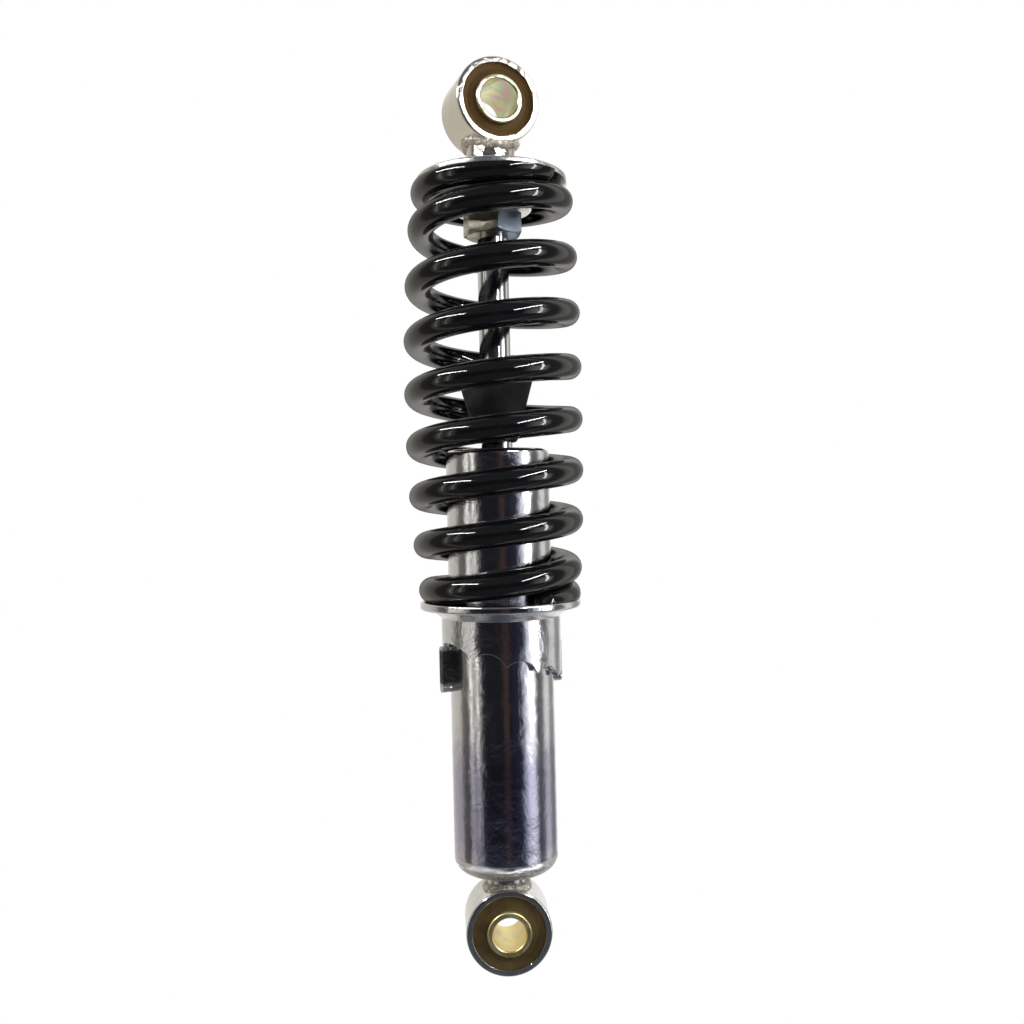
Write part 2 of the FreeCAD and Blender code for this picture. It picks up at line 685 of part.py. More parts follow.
def make_preload_collar():
    """Turning sleeve whose lower edge climbs the body's stops in notches, twice round."""
    bore, outer = f"({COLLAR_BORE}) / 2", f"({COLLAR_DIA}) / 2"
    top = "@z_lower_seat - @lower_seat_thick"
    foot = f"@z_first_notch - @notch_step * {NOTCHES_AFTER_FIRST + 1} - @notch_hook"
    flare = f"({FLARE_DIA}) / 2"
    collar = turned("preload_collar_turned", [
        (bore, foot), (outer, foot), (outer, f"{top} - @collar_flare_height"),
        (flare, f"{top} - @collar_flare_rim"), (flare, top), (bore, top)])
    radius = (value(COLLAR_BORE) + value(COLLAR_DIA)) / 4
    low = size("z_first_notch") - size("notch_step") * (NOTCHES_AFTER_FIRST + 3) - size("notch_hook")
    pockets = []
    for i, (left, crown, right, z_left, z_crown, z_right) in enumerate(notch_rows()):
        middle = (left + right) / 2
        sketch = new_sketch(collar, f"notch_{i}")
        sketch.AttachmentOffset = FreeCAD.Placement(
            V(0, 0, 0), FreeCAD.Rotation(V(0, 1, 0), middle + size("lug_turn_deg")))
        reach = radius * math.sin(math.radians((right - left) / 2))
        across = radius * math.sin(math.radians(crown - middle))
        notch_outline(sketch, V(-reach, z_left, 0), V(across, z_crown, 0), V(reach, z_right, 0), low, i > 0)
        pocket = collar.newObject("PartDesign::Pocket", f"notch_{i}_cut")
        pocket.Profile = sketch
        pocket.Reversed = True
        bind(pocket, "Length", COLLAR_DIA)
        sketch.Visibility = False
        pockets.append(pocket)
        doc.recompute()
    pattern = collar.newObject("PartDesign::PolarPattern", "notches_twice")
    pattern.Originals = pockets
    pattern.Axis = (pockets[0].Profile[0], ["V_Axis"])
    pattern.Angle = 360.0
    pattern.Occurrences = 2
    collar.Tip = pattern
    doc.recompute()
    add_node(collar, "preload_collar")


def make_preload_stops():
    """Two upright stops welded to the tube, with round ends, that the collar's notches stand on."""
    foot = "(@z_first_notch - @lug_notch_gap - @lug_height)"
    lugs = []
    for i, turn in enumerate(("@lug_turn_deg", "@lug_turn_deg + 180")):
        bar = doc.addObject("Part::Box", f"lug_bar_{i}")
        bind(bar, "Length", "@lug_width")
        bind(bar, "Width", f"({LUG_DIA}) / 2")
        bind(bar, "Height", "@lug_height - @lug_width")
        bar.Placement = FreeCAD.Placement(V(0, 0, 0), upright_turn(turn))
        bind(bar, "Placement.Base.x", f"sin({turn}) * ({LUG_DIA}) / 2 - cos({turn}) * @lug_width / 2")
        bind(bar, "Placement.Base.y", f"-cos({turn}) * ({LUG_DIA}) / 2 - sin({turn}) * @lug_width / 2")
        at_height(bar, f"{foot} + @lug_width / 2")
        ends = []
        low, high = f"{foot} + @lug_width / 2", f"{foot} + @lug_height - @lug_width / 2"
        for end, z in (("low", low), ("high", high)):
            pin = cylinder(f"lug_{end}_{i}", "@lug_width", f"({LUG_DIA}) / 2", z)
            ends.append(lay_on_y(pin, z, f"({turn})"))
        lugs.append(fuse(f"lug_{i}", bar, *ends))
    reach = "@lug_height + 2 * @lug_width"
    tube = cylinder("lug_tube_cut", "@tube_dia", reach, f"{foot} - @lug_width")
    outside = cylinder("lug_outside", LUG_DIA, reach, f"{foot} - @lug_width")
    both = cut("lugs_on_tube", fuse("lugs", *lugs), tube)
    add_node(common("lugs_trimmed", both, outside), "preload_stops")


# ---- spring ----

def hermite(s, slope_start, slope_end):
    """A smooth step from 0 to 1 with given end slopes."""
    return (slope_start * (s ** 3 - 2 * s * s + s) + slope_end * (s ** 3 - s * s)
            + 3 * s * s - 2 * s ** 3)


def end_rise(n, slope):
    """Height of the wire's centre above its seat, n half turns from where the coil leaves the seat.

    Past that point the end coil lies against the coil above it.
    """
    wire = size("wire_dia")
    lift, start = FIRST_RISE * wire, GROUND_HEIGHT * wire
    if n >= 0:
        return start + lift * hermite(min(n, 1.0), FIRST_SLOPE, slope / lift)
    pitch = wire + size("spring_touch_gap")
    if n >= -1:
        return start - (lift - pitch) * n
    return end_rise(n + 2, slope) - pitch


def spring_height(n):
    """Height of the wire's centre, n half turns up from the lower seat's contact."""
    low, high, turns = size("z_lower_seat"), size("z_upper_seat"), size("spring_half_turns")
    wire = size("wire_dia")
    rise = (GROUND_HEIGHT + FIRST_RISE) * wire
    slope = (high - low - 2 * rise) / (turns - 2)
    if n < 1:
        return low + end_rise(n, slope * (1 - SPRING_LEAN))
    if n > turns - 1:
        return high - end_rise(turns - n, slope * (1 + SPRING_LEAN))
    u = (n - 1) / (turns - 2)
    return low + rise + (high - low - 2 * rise) * (u + SPRING_LEAN * (u * u - u))


def spring_point(n):
    """Centre of the wire: a barrel-shaped helix that bows a little to -X at mid height."""
    z = spring_height(n)
    low, high = size("z_lower_seat"), size("z_upper_seat")
    u = min(1.0, max(0.0, (z - low) / (high - low)))
    end, middle = value(SPRING_END_DIA) / 2, value(SPRING_MID_DIA) / 2
    radius = end + (middle - end) * (1 - abs(2 * u - 1) ** BARREL_POWER)
    angle = math.radians(SPRING_START_DEG + 180 * n)
    bow = size("spring_bow") * math.sin(math.pi * u)
    return V(radius * math.sin(angle) - bow, -radius * math.cos(angle), z)


def make_spring():
    """Round wire swept along the helix, its two ends ground flat on the seats."""
    low, high = -SPRING_TAIL, size("spring_half_turns") + SPRING_TAIL
    count = int((high - low) * POINTS_PER_HALF_TURN)
    points = [spring_point(low + (high - low) * i / count) for i in range(count + 1)]
    path = Part.BSplineCurve()
    path.interpolate(points)
    start, direction = path.value(path.FirstParameter), path.tangent(path.FirstParameter)[0]
    section = Part.Wire([Part.Circle(start, direction, size("wire_dia") / 2).toShape()])
    coil = Part.Wire([path.toShape()]).makePipeShell([section], True, True)
    between = Part.makeCylinder(value(SPRING_MID_DIA), size("z_upper_seat") - size("z_lower_seat"),
                                V(0, 0, size("z_lower_seat")))
    spring = doc.addObject("Part::Feature", "coil_spring")
    spring.Shape = coil.common(between).Solids[0]
    spring.Placement = FreeCAD.Placement()
    add_node(spring, "spring")


def export_nodes():
    """Check every object, then write each piece to parts/."""
    doc.recompute()
    for obj in doc.Objects:
        if {"Invalid", "Error"} & set(obj.State):
            raise RuntimeError(f"{obj.Name}: {obj.State}")
    for name, obj in nodes.items():
        if obj.Shape.isNull() or not obj.Shape.isValid() or not obj.Shape.Solids:
            raise RuntimeError(f"{name}: bad shape")
    os.makedirs("parts", exist_ok=True)
    for name, obj in nodes.items():
        obj.Shape.exportStep(f"parts/{name}.step")
        print(f"{name}: {len(obj.Shape.Solids)} solid, {obj.Shape.Volume:.1f} mm3")


make_lower_eye()
make_upper_eye()
for side, z_eye, eye_turn in (("lower", "0", "0"), ("upper", "@eye_to_eye", "@upper_eye_turn")):
    make_bush(side, z_eye, eye_turn)
    make_sleeve(side, z_eye, eye_turn)
make_damper_tube()
make_base_cup()
make_inner_cylinder()
make_foot_valve()
make_rod_guide()
make_seal_and_cap()
make_rod()
make_piston()
make_upper_seat()
make_lock_nut()
make_bump_stop()
make_lower_seat()
make_preload_collar()
make_preload_stops()
make_spring()
export_nodes()
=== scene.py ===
import math

import bpy
import numpy as np
from mathutils import Matrix, Vector


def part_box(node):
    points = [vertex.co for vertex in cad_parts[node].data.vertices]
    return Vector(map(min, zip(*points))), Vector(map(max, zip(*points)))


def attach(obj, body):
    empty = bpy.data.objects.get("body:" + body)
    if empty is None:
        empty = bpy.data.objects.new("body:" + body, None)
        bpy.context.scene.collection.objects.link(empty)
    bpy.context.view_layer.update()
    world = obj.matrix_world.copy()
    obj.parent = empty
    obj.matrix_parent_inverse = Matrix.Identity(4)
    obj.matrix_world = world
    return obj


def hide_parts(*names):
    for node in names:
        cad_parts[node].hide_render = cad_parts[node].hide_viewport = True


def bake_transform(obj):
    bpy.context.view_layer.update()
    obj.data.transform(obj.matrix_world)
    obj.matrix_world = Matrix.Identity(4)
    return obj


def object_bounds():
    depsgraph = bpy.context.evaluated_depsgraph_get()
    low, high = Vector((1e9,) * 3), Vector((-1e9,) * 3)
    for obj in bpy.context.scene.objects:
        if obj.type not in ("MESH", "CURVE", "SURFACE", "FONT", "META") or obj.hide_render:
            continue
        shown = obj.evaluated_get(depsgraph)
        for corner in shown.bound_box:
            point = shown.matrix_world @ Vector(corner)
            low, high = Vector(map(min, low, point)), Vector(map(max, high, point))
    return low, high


bl_info = {
    "name": "Rear Shock Absorber",
    "version": (1, 0, 0),
    "blender": (4, 5, 0),
    "location": "View3D > Sidebar > Shock",
    "description": "Draws the looks, the moving spring and the studio of a rear shock absorber",
    "category": "Object",
}

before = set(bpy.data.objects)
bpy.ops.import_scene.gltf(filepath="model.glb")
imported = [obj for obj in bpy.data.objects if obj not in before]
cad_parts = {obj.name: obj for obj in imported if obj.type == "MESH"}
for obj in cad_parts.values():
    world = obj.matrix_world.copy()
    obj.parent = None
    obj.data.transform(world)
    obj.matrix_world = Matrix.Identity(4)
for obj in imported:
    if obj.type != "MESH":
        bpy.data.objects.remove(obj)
FRAME_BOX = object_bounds()
SPRING_LOW, SPRING_HIGH = (corner.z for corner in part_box("spring"))

# The floor lies this far under the object; it reaches this far each way. In metres.
FLOOR_GAP, FLOOR_HALF = 0.0005, 3.0
FLOOR_Z = FRAME_BOX[0].z - FLOOR_GAP

# The coil spring's path, which follows the solid part's spring but for slightly shorter tails.
# Lengths are in metres; places along the path are in half turns up from the lower seat's contact.
WIRE = 0.0082
END_RADIUS, MIDDLE_RADIUS, BARREL_POWER = 0.0214, 0.02425, 2.3
BOW = 0.00085
HALF_TURNS, TAIL = 15.5, 1.27
START_DEG = 266.0
LEAN = 0.1
TOUCH_GAP = 0.0001
GROUND_HEIGHT = 0.42 * WIRE
FIRST_LIFT, FIRST_SLOPE = 0.8 * WIRE, 0.2
SPLIT_TURN = 4.5
END_ROUND = 0.0026

# How the coil is drawn: rings on a rounded end, and steps along the path in half turns for its
# direction and its climb.
END_RINGS = 4
PATH_STEP, CLIMB_STEP = 0.005, 0.01

# A welded seam's points round its bead, and how its thickness swells: a main wave, a second wave
# with its rate and phase, and chance waves of these counts.
BEAD_SIDES = 14
MAIN_SWELL, SECOND_SWELL, CHANCE_SWELL = 0.10, 0.05, 0.022
SECOND_RATE, SECOND_PHASE = 2.3, 1.0
CHANCE_WAVES, CHANCE_PHASE = range(3, 16), 6.28

# How far a metal edge is softened in the shading, in metres.
EDGE_SOFTNESS, EDGE_SAMPLES = 0.00035, 6
RUBBER_SPECULAR, COAT_ROUGHNESS = 0.22, 0.03

# Worn plate: sizes of its noises, the spans of noise that count as haze, scratch and pit, how
# strongly each tints the colour, and what it adds to the roughness and the relief.
FINE_SIZE, BAND_EDGE_SIZE, LUMP_SIZE = 900.0, 260.0, 1100.0
HAZE_SPAN, SCRATCH_SPAN, PIT_SPAN = (0.46, 0.72), (0.58, 0.72), (0.60, 0.74)
SCRATCH_TINT, PIT_TINT = 0.35, 0.5
PIT_COLOR = (0.05, 0.048, 0.045, 1.0)
HAZE_ROUGHNESS, SCRATCH_ROUGHNESS, SCRATCH_RELIEF = 0.30, 0.12, 0.4

# Moulded rubber.
CLOUD_SPAN, CLOUD_ROUGHNESS = (0.35, 0.70), 0.16
RUBBER_GRAIN, RING_RELIEF = 2600.0, 0.35

# Passivated zinc: the painted reflection, a cool tint on the side towards +X, starts and is full at
# these X, in metres, along a wandering line.
SECOND_SPAN, THIRD_SPAN = (0.42, 0.60), (0.52, 0.66)
REFLECTION_SPAN, REFLECTION_WANDER = (0.0005, 0.0022), 0.004
ZINC_GRAIN, SECOND_ROUGHNESS = (300.0, 300.0, 3000.0), 0.12

# Powder coat, and how it dulls towards its rim.
SMUDGE_SIZE, SMUDGE_SPAN = 60.0, (0.48, 0.75)
DUST_SIZE, DUST_SPAN, DUST_TINT = 1500.0, (0.66, 0.74), 0.3
PEEL_SIZE = 420.0
RIM_COLOR, RIM_ROUGHNESS, RIM_SPECULAR = (0.040, 0.035, 0.030, 1.0), 0.6, 0.1
RIM_SPAN, RIM_SHARE = (0.62, 0.97), 0.92

# Eyes and necks, in metres: height of each bore with its turn about Z, and where seams lie.
EYE_HEIGHTS = {"lower": (0.0, 0.0), "upper": (0.26, math.radians(16.0))}
EYE_RADIUS = 0.0135
LOWER_NECK_RADIUS = 0.00625
UPPER_NECK_RADIUS = 0.0077
BASE_Z = 0.0178
HUB_FLOOR_Z = 0.2289

# Welded seams: name, the neck's radius, how far outside it the ring lies, the ring's height, how
# many lumps, the seed of the chance part, the eye it lies against, and the body it rides. A seam
# against an eye takes its height from the eye's barrel: +1 above or -1 below the bore's axis.
SEAMS = (
    ("base_weld", LOWER_NECK_RADIUS, 0.0003, BASE_Z - 0.0003, 11, 3, None, "damper_body"),
    ("lower_eye_weld", LOWER_NECK_RADIUS, 0.0004, 0.0, 9, 7, ("lower", 1.0), "damper_body"),
    ("hub_weld", UPPER_NECK_RADIUS, 0.0003, HUB_FLOOR_Z + 0.0005, 13, 5, None, "rod_assembly"),
    ("upper_eye_weld", UPPER_NECK_RADIUS, 0.0002, 0.0, 10, 9, ("upper", -1.0), "rod_assembly"),
)

# Studio: what stands round the object at each azimuth, in degrees right of the viewer.
# Each band is (azimuth, red, green, blue).
STUDIO_BANDS = (
    (-180, 0.90, 0.88, 0.84), (-150, 0.62, 0.60, 0.55), (-112, 0.50, 0.47, 0.42),
    (-104, 0.16, 0.15, 0.14), (-86, 0.10, 0.10, 0.09), (-80, 0.62, 0.60, 0.55),
    (-73, 0.55, 0.53, 0.49), (-69, 0.12, 0.12, 0.11), (-64, 0.58, 0.56, 0.52),
    (-58, 0.50, 0.49, 0.46), (-51, 0.040, 0.040, 0.042), (-40, 0.012, 0.013, 0.016),
    (-4, 0.012, 0.012, 0.014), (2, 0.052, 0.033, 0.030), (8, 0.048, 0.030, 0.027),
    (12, 0.010, 0.010, 0.016), (38, 0.022, 0.026, 0.044), (50, 0.80, 0.84, 0.95),
    (56, 1.25, 1.25, 1.25), (70, 1.15, 1.15, 1.15), (77, 0.10, 0.10, 0.11),
    (94, 0.16, 0.16, 0.16), (102, 0.72, 0.71, 0.68), (116, 0.75, 0.73, 0.70),
    (124, 0.30, 0.30, 0.29), (142, 0.30, 0.29, 0.28), (156, 0.95, 0.94, 0.92),
    (180, 0.90, 0.88, 0.84),
)

# In front, the room turns to one plain colour above and below. Each is given by the Z part of a
# direction where it starts and where it is full, and its colour; FRONT_SPAN is the same for Y.
ROOM_ABOVE = (0.16, 0.26, (0.11, 0.12, 0.14, 1.0))
ROOM_BELOW = (-0.33, -0.37, (0.075, 0.085, 0.105, 1.0))
FRONT_SPAN = (-0.05, -0.35)

# Lights. A place is (azimuth in degrees right of the viewer, distance, height) and lengths are in
# metres. A strip is (name, place, width, length), an overhead tube (name, start, end).
LIT_POINT = (0.0, 0.0, 0.13)
RIGHT_STRIP = ("right_strip", (63, 0.85, 0.22), 0.05, 0.60)
LEFT_STRIPS = (("left_strip_60", (-60, 0.9, 0.2), 0.03, 0.7),
               ("left_strip_76", (-76, 0.9, 0.2), 0.03, 0.7))
LEFT_TINT = (1.0, 0.95, 0.88)
TUBES = (("tube_left", (-88, 0.8, 0.66), (-40, 0.8, 0.60)),
         ("tube_right", (24, 0.8, 0.30), (66, 0.8, 0.72)))
TUBE_WIDTH = 0.012

# Camera: azimuth and roll in degrees; distance, height and step aside in metres; lens and sensor
# in millimetres; shift as a share of the picture.
CAMERA_AZIMUTH, CAMERA_ROLL = -3.9, -1.3
CAMERA_DISTANCE, CAMERA_HEIGHT, CAMERA_ASIDE = 0.3274, 0.1334, 0.00433
CAMERA_LENS, CAMERA_SENSOR, CAMERA_SHIFT = 36.0, 36.0, -0.0068
CAMERA_NEAR, CAMERA_FAR = 0.01, 20.0


# ---- node helpers ----

class Net:
    """Adds nodes to a tree; a given input may be a plain value or another node's output."""

    def __init__(self, tree):
        self.tree = tree

    def add(self, kind, inputs=None, **settings):
        """A new node with its settings and inputs."""
        node = self.tree.nodes.new(kind)
        for name, given in settings.items():
            setattr(node, name, given)
        for key, given in (inputs or {}).items():
            socket = node.inputs[key]
            if isinstance(given, bpy.types.NodeSocket):
                self.tree.links.new(given, socket)
            else:
                socket.default_value = given
        return node

    def math(self, operation, a, b=0.0):
        """The result of one operation on one or two numbers."""
        return self.add("ShaderNodeMath", {0: a, 1: b}, operation=operation).outputs[0]

    def vector(self, operation, a, b=(0.0, 0.0, 0.0)):
        """The result of one operation on one or two vectors."""
        return self.add("ShaderNodeVectorMath", {0: a, 1: b}, operation=operation).outputs[0]

    def ramp(self, source, low, high, to_low=0.0, to_high=1.0):
        """Carries source from low..high to to_low..to_high with a soft start and end."""
        return self.add("ShaderNodeMapRange", {0: source, 1: low, 2: high, 3: to_low, 4: to_high},
                        interpolation_type="SMOOTHSTEP").outputs[0]

    def mix(self, factor, a, b):
        """Colour a carried towards colour b by a factor."""
        return self.add("ShaderNodeMix", {0: factor, 6: a, 7: b}, data_type="RGBA").outputs[2]

    def noise(self, vector, scale, detail=4.0, roughness=0.55, distortion=0.0):
        """A cloudy noise from 0 to 1; scale is in waves per metre."""
        return self.add("ShaderNodeTexNoise", {
            "Vector": vector, "Scale": scale, "Detail": detail, "Roughness": roughness,
            "Distortion": distortion}).outputs["Fac"]

    def place(self):
        """The object's own coordinates, in metres."""
        return self.add("ShaderNodeTexCoord").outputs["Object"]

    def split(self, vector):
        """The X, Y and Z of a vector."""
        return self.add("ShaderNodeSeparateXYZ", {0: vector}).outputs


KINDS = {"color": "NodeSocketColor", "value": "NodeSocketFloat", "vector": "NodeSocketVector"}


def new_group(name, inputs, build):
    """A shader group with Color, Roughness and Height outputs.

    Its inputs are given as {name: (kind, default)}.
    """
    tree = bpy.data.node_groups.new(name, "ShaderNodeTree")
    for label, (kind, default) in inputs.items():
        socket = tree.interface.new_socket(label, in_out="INPUT", socket_type=KINDS[kind])
        socket.default_value = default
    tree.interface.new_socket("Color", in_out="OUTPUT", socket_type=KINDS["color"])
    for label in ("Roughness", "Height"):
        tree.interface.new_socket(label, in_out="OUTPUT", socket_type=KINDS["value"])
    net = Net(tree)
    given = tree.nodes.new("NodeGroupInput").outputs
    color, roughness, height = build(net, given)
    net.add("NodeGroupOutput", {0: color, 1: roughness, 2: height})
    return tree


def build_worn_plate(net, given):
    """Plated metal: cloudy haze, fine scratches along one way, pits, and a band between two heights
    with its own colour, roughness and lumps, which on the preload stops is painted dark reflection.
    """
    place = net.place()
    haze_noise = net.noise(place, given["Haze Size"], 7.0, 0.62, 0.6)
    haze = net.math("MULTIPLY", net.ramp(haze_noise, *HAZE_SPAN), given["Haze"])
    fine = net.noise(place, FINE_SIZE, 3.0, 0.6)
    grain = net.noise(net.vector("MULTIPLY", place, given["Grain"]), 1.0, 5.0, 0.6)
    scratch = net.math("MULTIPLY", net.ramp(grain, *SCRATCH_SPAN), given["Scratches"])
    pits = net.math("MULTIPLY", net.ramp(fine, *PIT_SPAN), given["Pits"])
    z = net.split(place)["Z"]
    uneven = net.math("SUBTRACT", net.noise(place, BAND_EDGE_SIZE, 4.0), 0.5)
    height = net.math("ADD", z, net.math("MULTIPLY", uneven, given["Band Soft"]))
    above = net.ramp(net.math("DIVIDE", net.math("SUBTRACT", height, given["Band Low"]),
                              given["Band Soft"]), -0.5, 0.5)
    below = net.ramp(net.math("DIVIDE", net.math("SUBTRACT", given["Band High"], height),
                              given["Band Soft"]), -0.5, 0.5)
    band = net.math("MULTIPLY", above, below)
    color = net.mix(haze, given["Color"], given["Haze Color"])
    color = net.mix(net.math("MULTIPLY", scratch, SCRATCH_TINT), color, given["Haze Color"])
    color = net.mix(net.math("MULTIPLY", pits, PIT_TINT), color, PIT_COLOR)
    color = net.mix(band, color, given["Band Color"])
    rough = net.math("ADD", given["Roughness"], net.math("MULTIPLY", haze, HAZE_ROUGHNESS))
    rough = net.math("ADD", rough, net.math("MULTIPLY", scratch, SCRATCH_ROUGHNESS))
    rough = net.math("ADD", rough, net.math("MULTIPLY", band, given["Band Roughness"]))
    lumps = net.math("MULTIPLY", net.noise(place, LUMP_SIZE, 3.0), band)
    relief = net.math("ADD", net.math("MULTIPLY", scratch, SCRATCH_RELIEF),
                      net.math("MULTIPLY", lumps, given["Band Lumps"]))
    relief = net.math("SUBTRACT", relief, pits)
    relief = net.math("ADD", relief, net.math("MULTIPLY", haze_noise, given["Ripple"]))
    return color, rough, relief


def build_rubber(net, given):
    """Moulded rubber: faint rings round a bore, dusty clouds and a fine grain."""
    place = net.place()
    local = net.add("ShaderNodeVectorRotate", {
        "Vector": net.vector("SUBTRACT", place, given["Centre"]), "Angle": given["Turn"]},
        rotation_type="Z_AXIS").outputs[0]
    flat = net.vector("MULTIPLY", local, (1.0, 0.0, 1.0))
    radius = net.add("ShaderNodeVectorMath", {0: flat}, operation="LENGTH").outputs["Value"]
    rings = net.math("SINE", net.math("MULTIPLY", radius, given["Rings"]))
    cloud = net.ramp(net.noise(place, given["Cloud Size"], 6.0, 0.6), *CLOUD_SPAN)
    grain = net.noise(place, RUBBER_GRAIN, 2.0)
    color = net.mix(net.math("MULTIPLY", cloud, given["Dust"]), given["Color"], given["Dust Color"])
    rough = net.math("ADD", given["Roughness"], net.math("MULTIPLY", cloud, CLOUD_ROUGHNESS))
    relief = net.math("ADD", net.math("MULTIPLY", rings, RING_RELIEF), grain)
    return color, rough, relief


def build_zinc(net, given):
    """Passivated zinc: patches of two tints, and a painted reflection: a cooler tint on the side
    towards +X.
    """
    place = net.place()
    film = net.noise(place, given["Bloom Size"], 5.0, 0.6, 0.8)
    second = net.ramp(film, *SECOND_SPAN)
    third = net.ramp(net.noise(place, given["Bloom Size"], 3.0, 0.5, 1.6), *THIRD_SPAN)
    color = net.mix(second, given["Color"], given["Second"])
    color = net.mix(net.math("MULTIPLY", third, given["Bloom"]), color, given["Third"])
    # Painted reflection: the side towards +X is tinted a cool blue-grey, as if it mirrored a cool
    # part of the room.
    wander = net.math("MULTIPLY", net.math("SUBTRACT", film, 0.5), REFLECTION_WANDER)
    side = net.ramp(net.math("ADD", net.split(place)["X"], wander), *REFLECTION_SPAN)
    color = net.mix(net.math("MULTIPLY", side, given["Side"]), color, given["Painted Reflection Color"])
    grain = net.noise(net.vector("MULTIPLY", place, ZINC_GRAIN), 1.0, 4.0)
    rough = net.math("ADD", given["Roughness"], net.math("MULTIPLY", second, SECOND_ROUGHNESS))
    return color, rough, grain


def build_paint(net, given):
    """Gloss powder coat: orange peel, dull smudges and a little dust."""
    place = net.place()
    smudge = net.ramp(net.noise(place, SMUDGE_SIZE, 6.0, 0.62, 0.5), *SMUDGE_SPAN)
    dust = net.ramp(net.noise(place, DUST_SIZE, 3.0), *DUST_SPAN)
    color = net.mix(net.math("MULTIPLY", net.math("MULTIPLY", dust, smudge), DUST_TINT),
                    given["Color"], given["Dust Color"])
    rough = net.math("ADD", given["Roughness"], net.math("MULTIPLY", smudge, given["Smudge"]))
    peel = net.noise(place, PEEL_SIZE, 2.0)
    return color, rough, peel


METAL_INPUTS = {
    "Color": ("color", (0.8, 0.8, 0.8, 1)), "Haze Color": ("color", (0.6, 0.6, 0.6, 1)),
    "Roughness": ("value", 0.1), "Haze": ("value", 0.5), "Haze Size": ("value", 60.0),
    "Scratches": ("value", 0.5), "Grain": ("vector", (900.0, 900.0, 40.0)), "Pits": ("value", 0.1),
    "Ripple": ("value", 0.0), "Band Color": ("color", (0.3, 0.3, 0.3, 1)),
    "Band Low": ("value", -1.0), "Band High": ("value", -0.9), "Band Soft": ("value", 0.002),
    "Band Roughness": ("value", 0.0), "Band Lumps": ("value", 0.0),
}
RUBBER_INPUTS = {
    "Color": ("color", (0.02, 0.02, 0.02, 1)), "Dust Color": ("color", (0.1, 0.1, 0.1, 1)),
    "Dust": ("value", 0.4), "Roughness": ("value", 0.6), "Rings": ("value", 0.0),
    "Cloud Size": ("value", 120.0), "Centre": ("vector", (0.0, 0.0, 0.0)), "Turn": ("value", 0.0),
}
ZINC_INPUTS = {
    "Color": ("color", (0.8, 0.7, 0.4, 1)), "Second": ("color", (0.6, 0.7, 0.4, 1)),
    "Third": ("color", (0.8, 0.5, 0.5, 1)), "Bloom": ("value", 0.5), "Bloom Size": ("value", 180.0),
    "Roughness": ("value", 0.25), "Side": ("value", 0.0),
    "Painted Reflection Color": ("color", (0.4, 0.45, 0.5, 1)),
}
PAINT_INPUTS = {
    "Color": ("color", (0.004, 0.004, 0.004, 1)), "Dust Color": ("color", (0.09, 0.08, 0.07, 1)),
    "Roughness": ("value", 0.075), "Smudge": ("value", 0.10),
}
GROUPS = {
    "Worn Plate": (METAL_INPUTS, build_worn_plate),
    "Moulded Rubber": (RUBBER_INPUTS, build_rubber),
    "Passivated Zinc": (ZINC_INPUTS, build_zinc),
    "Powder Coat": (PAINT_INPUTS, build_paint),
}


def rgb(red, green, blue):
    """An opaque colour for a shader's socket."""
    return (red, green, blue, 1.0)


def bush_inputs(side):
    """The rubber group's inputs for one eye's bush, its rings centred on the bore."""
    z, turn = EYE_HEIGHTS[side]
    tints = {"lower": rgb(0.050, 0.034, 0.009), "upper": rgb(0.080, 0.041, 0.009)}
    return {"Color": tints[side], "Dust Color": rgb(0.13, 0.085, 0.026), "Dust": 0.30,
            "Roughness": 0.58, "Rings": 7000.0, "Cloud Size": 150.0, "Centre": (0.0, 0.0, z),
            "Turn": -turn}


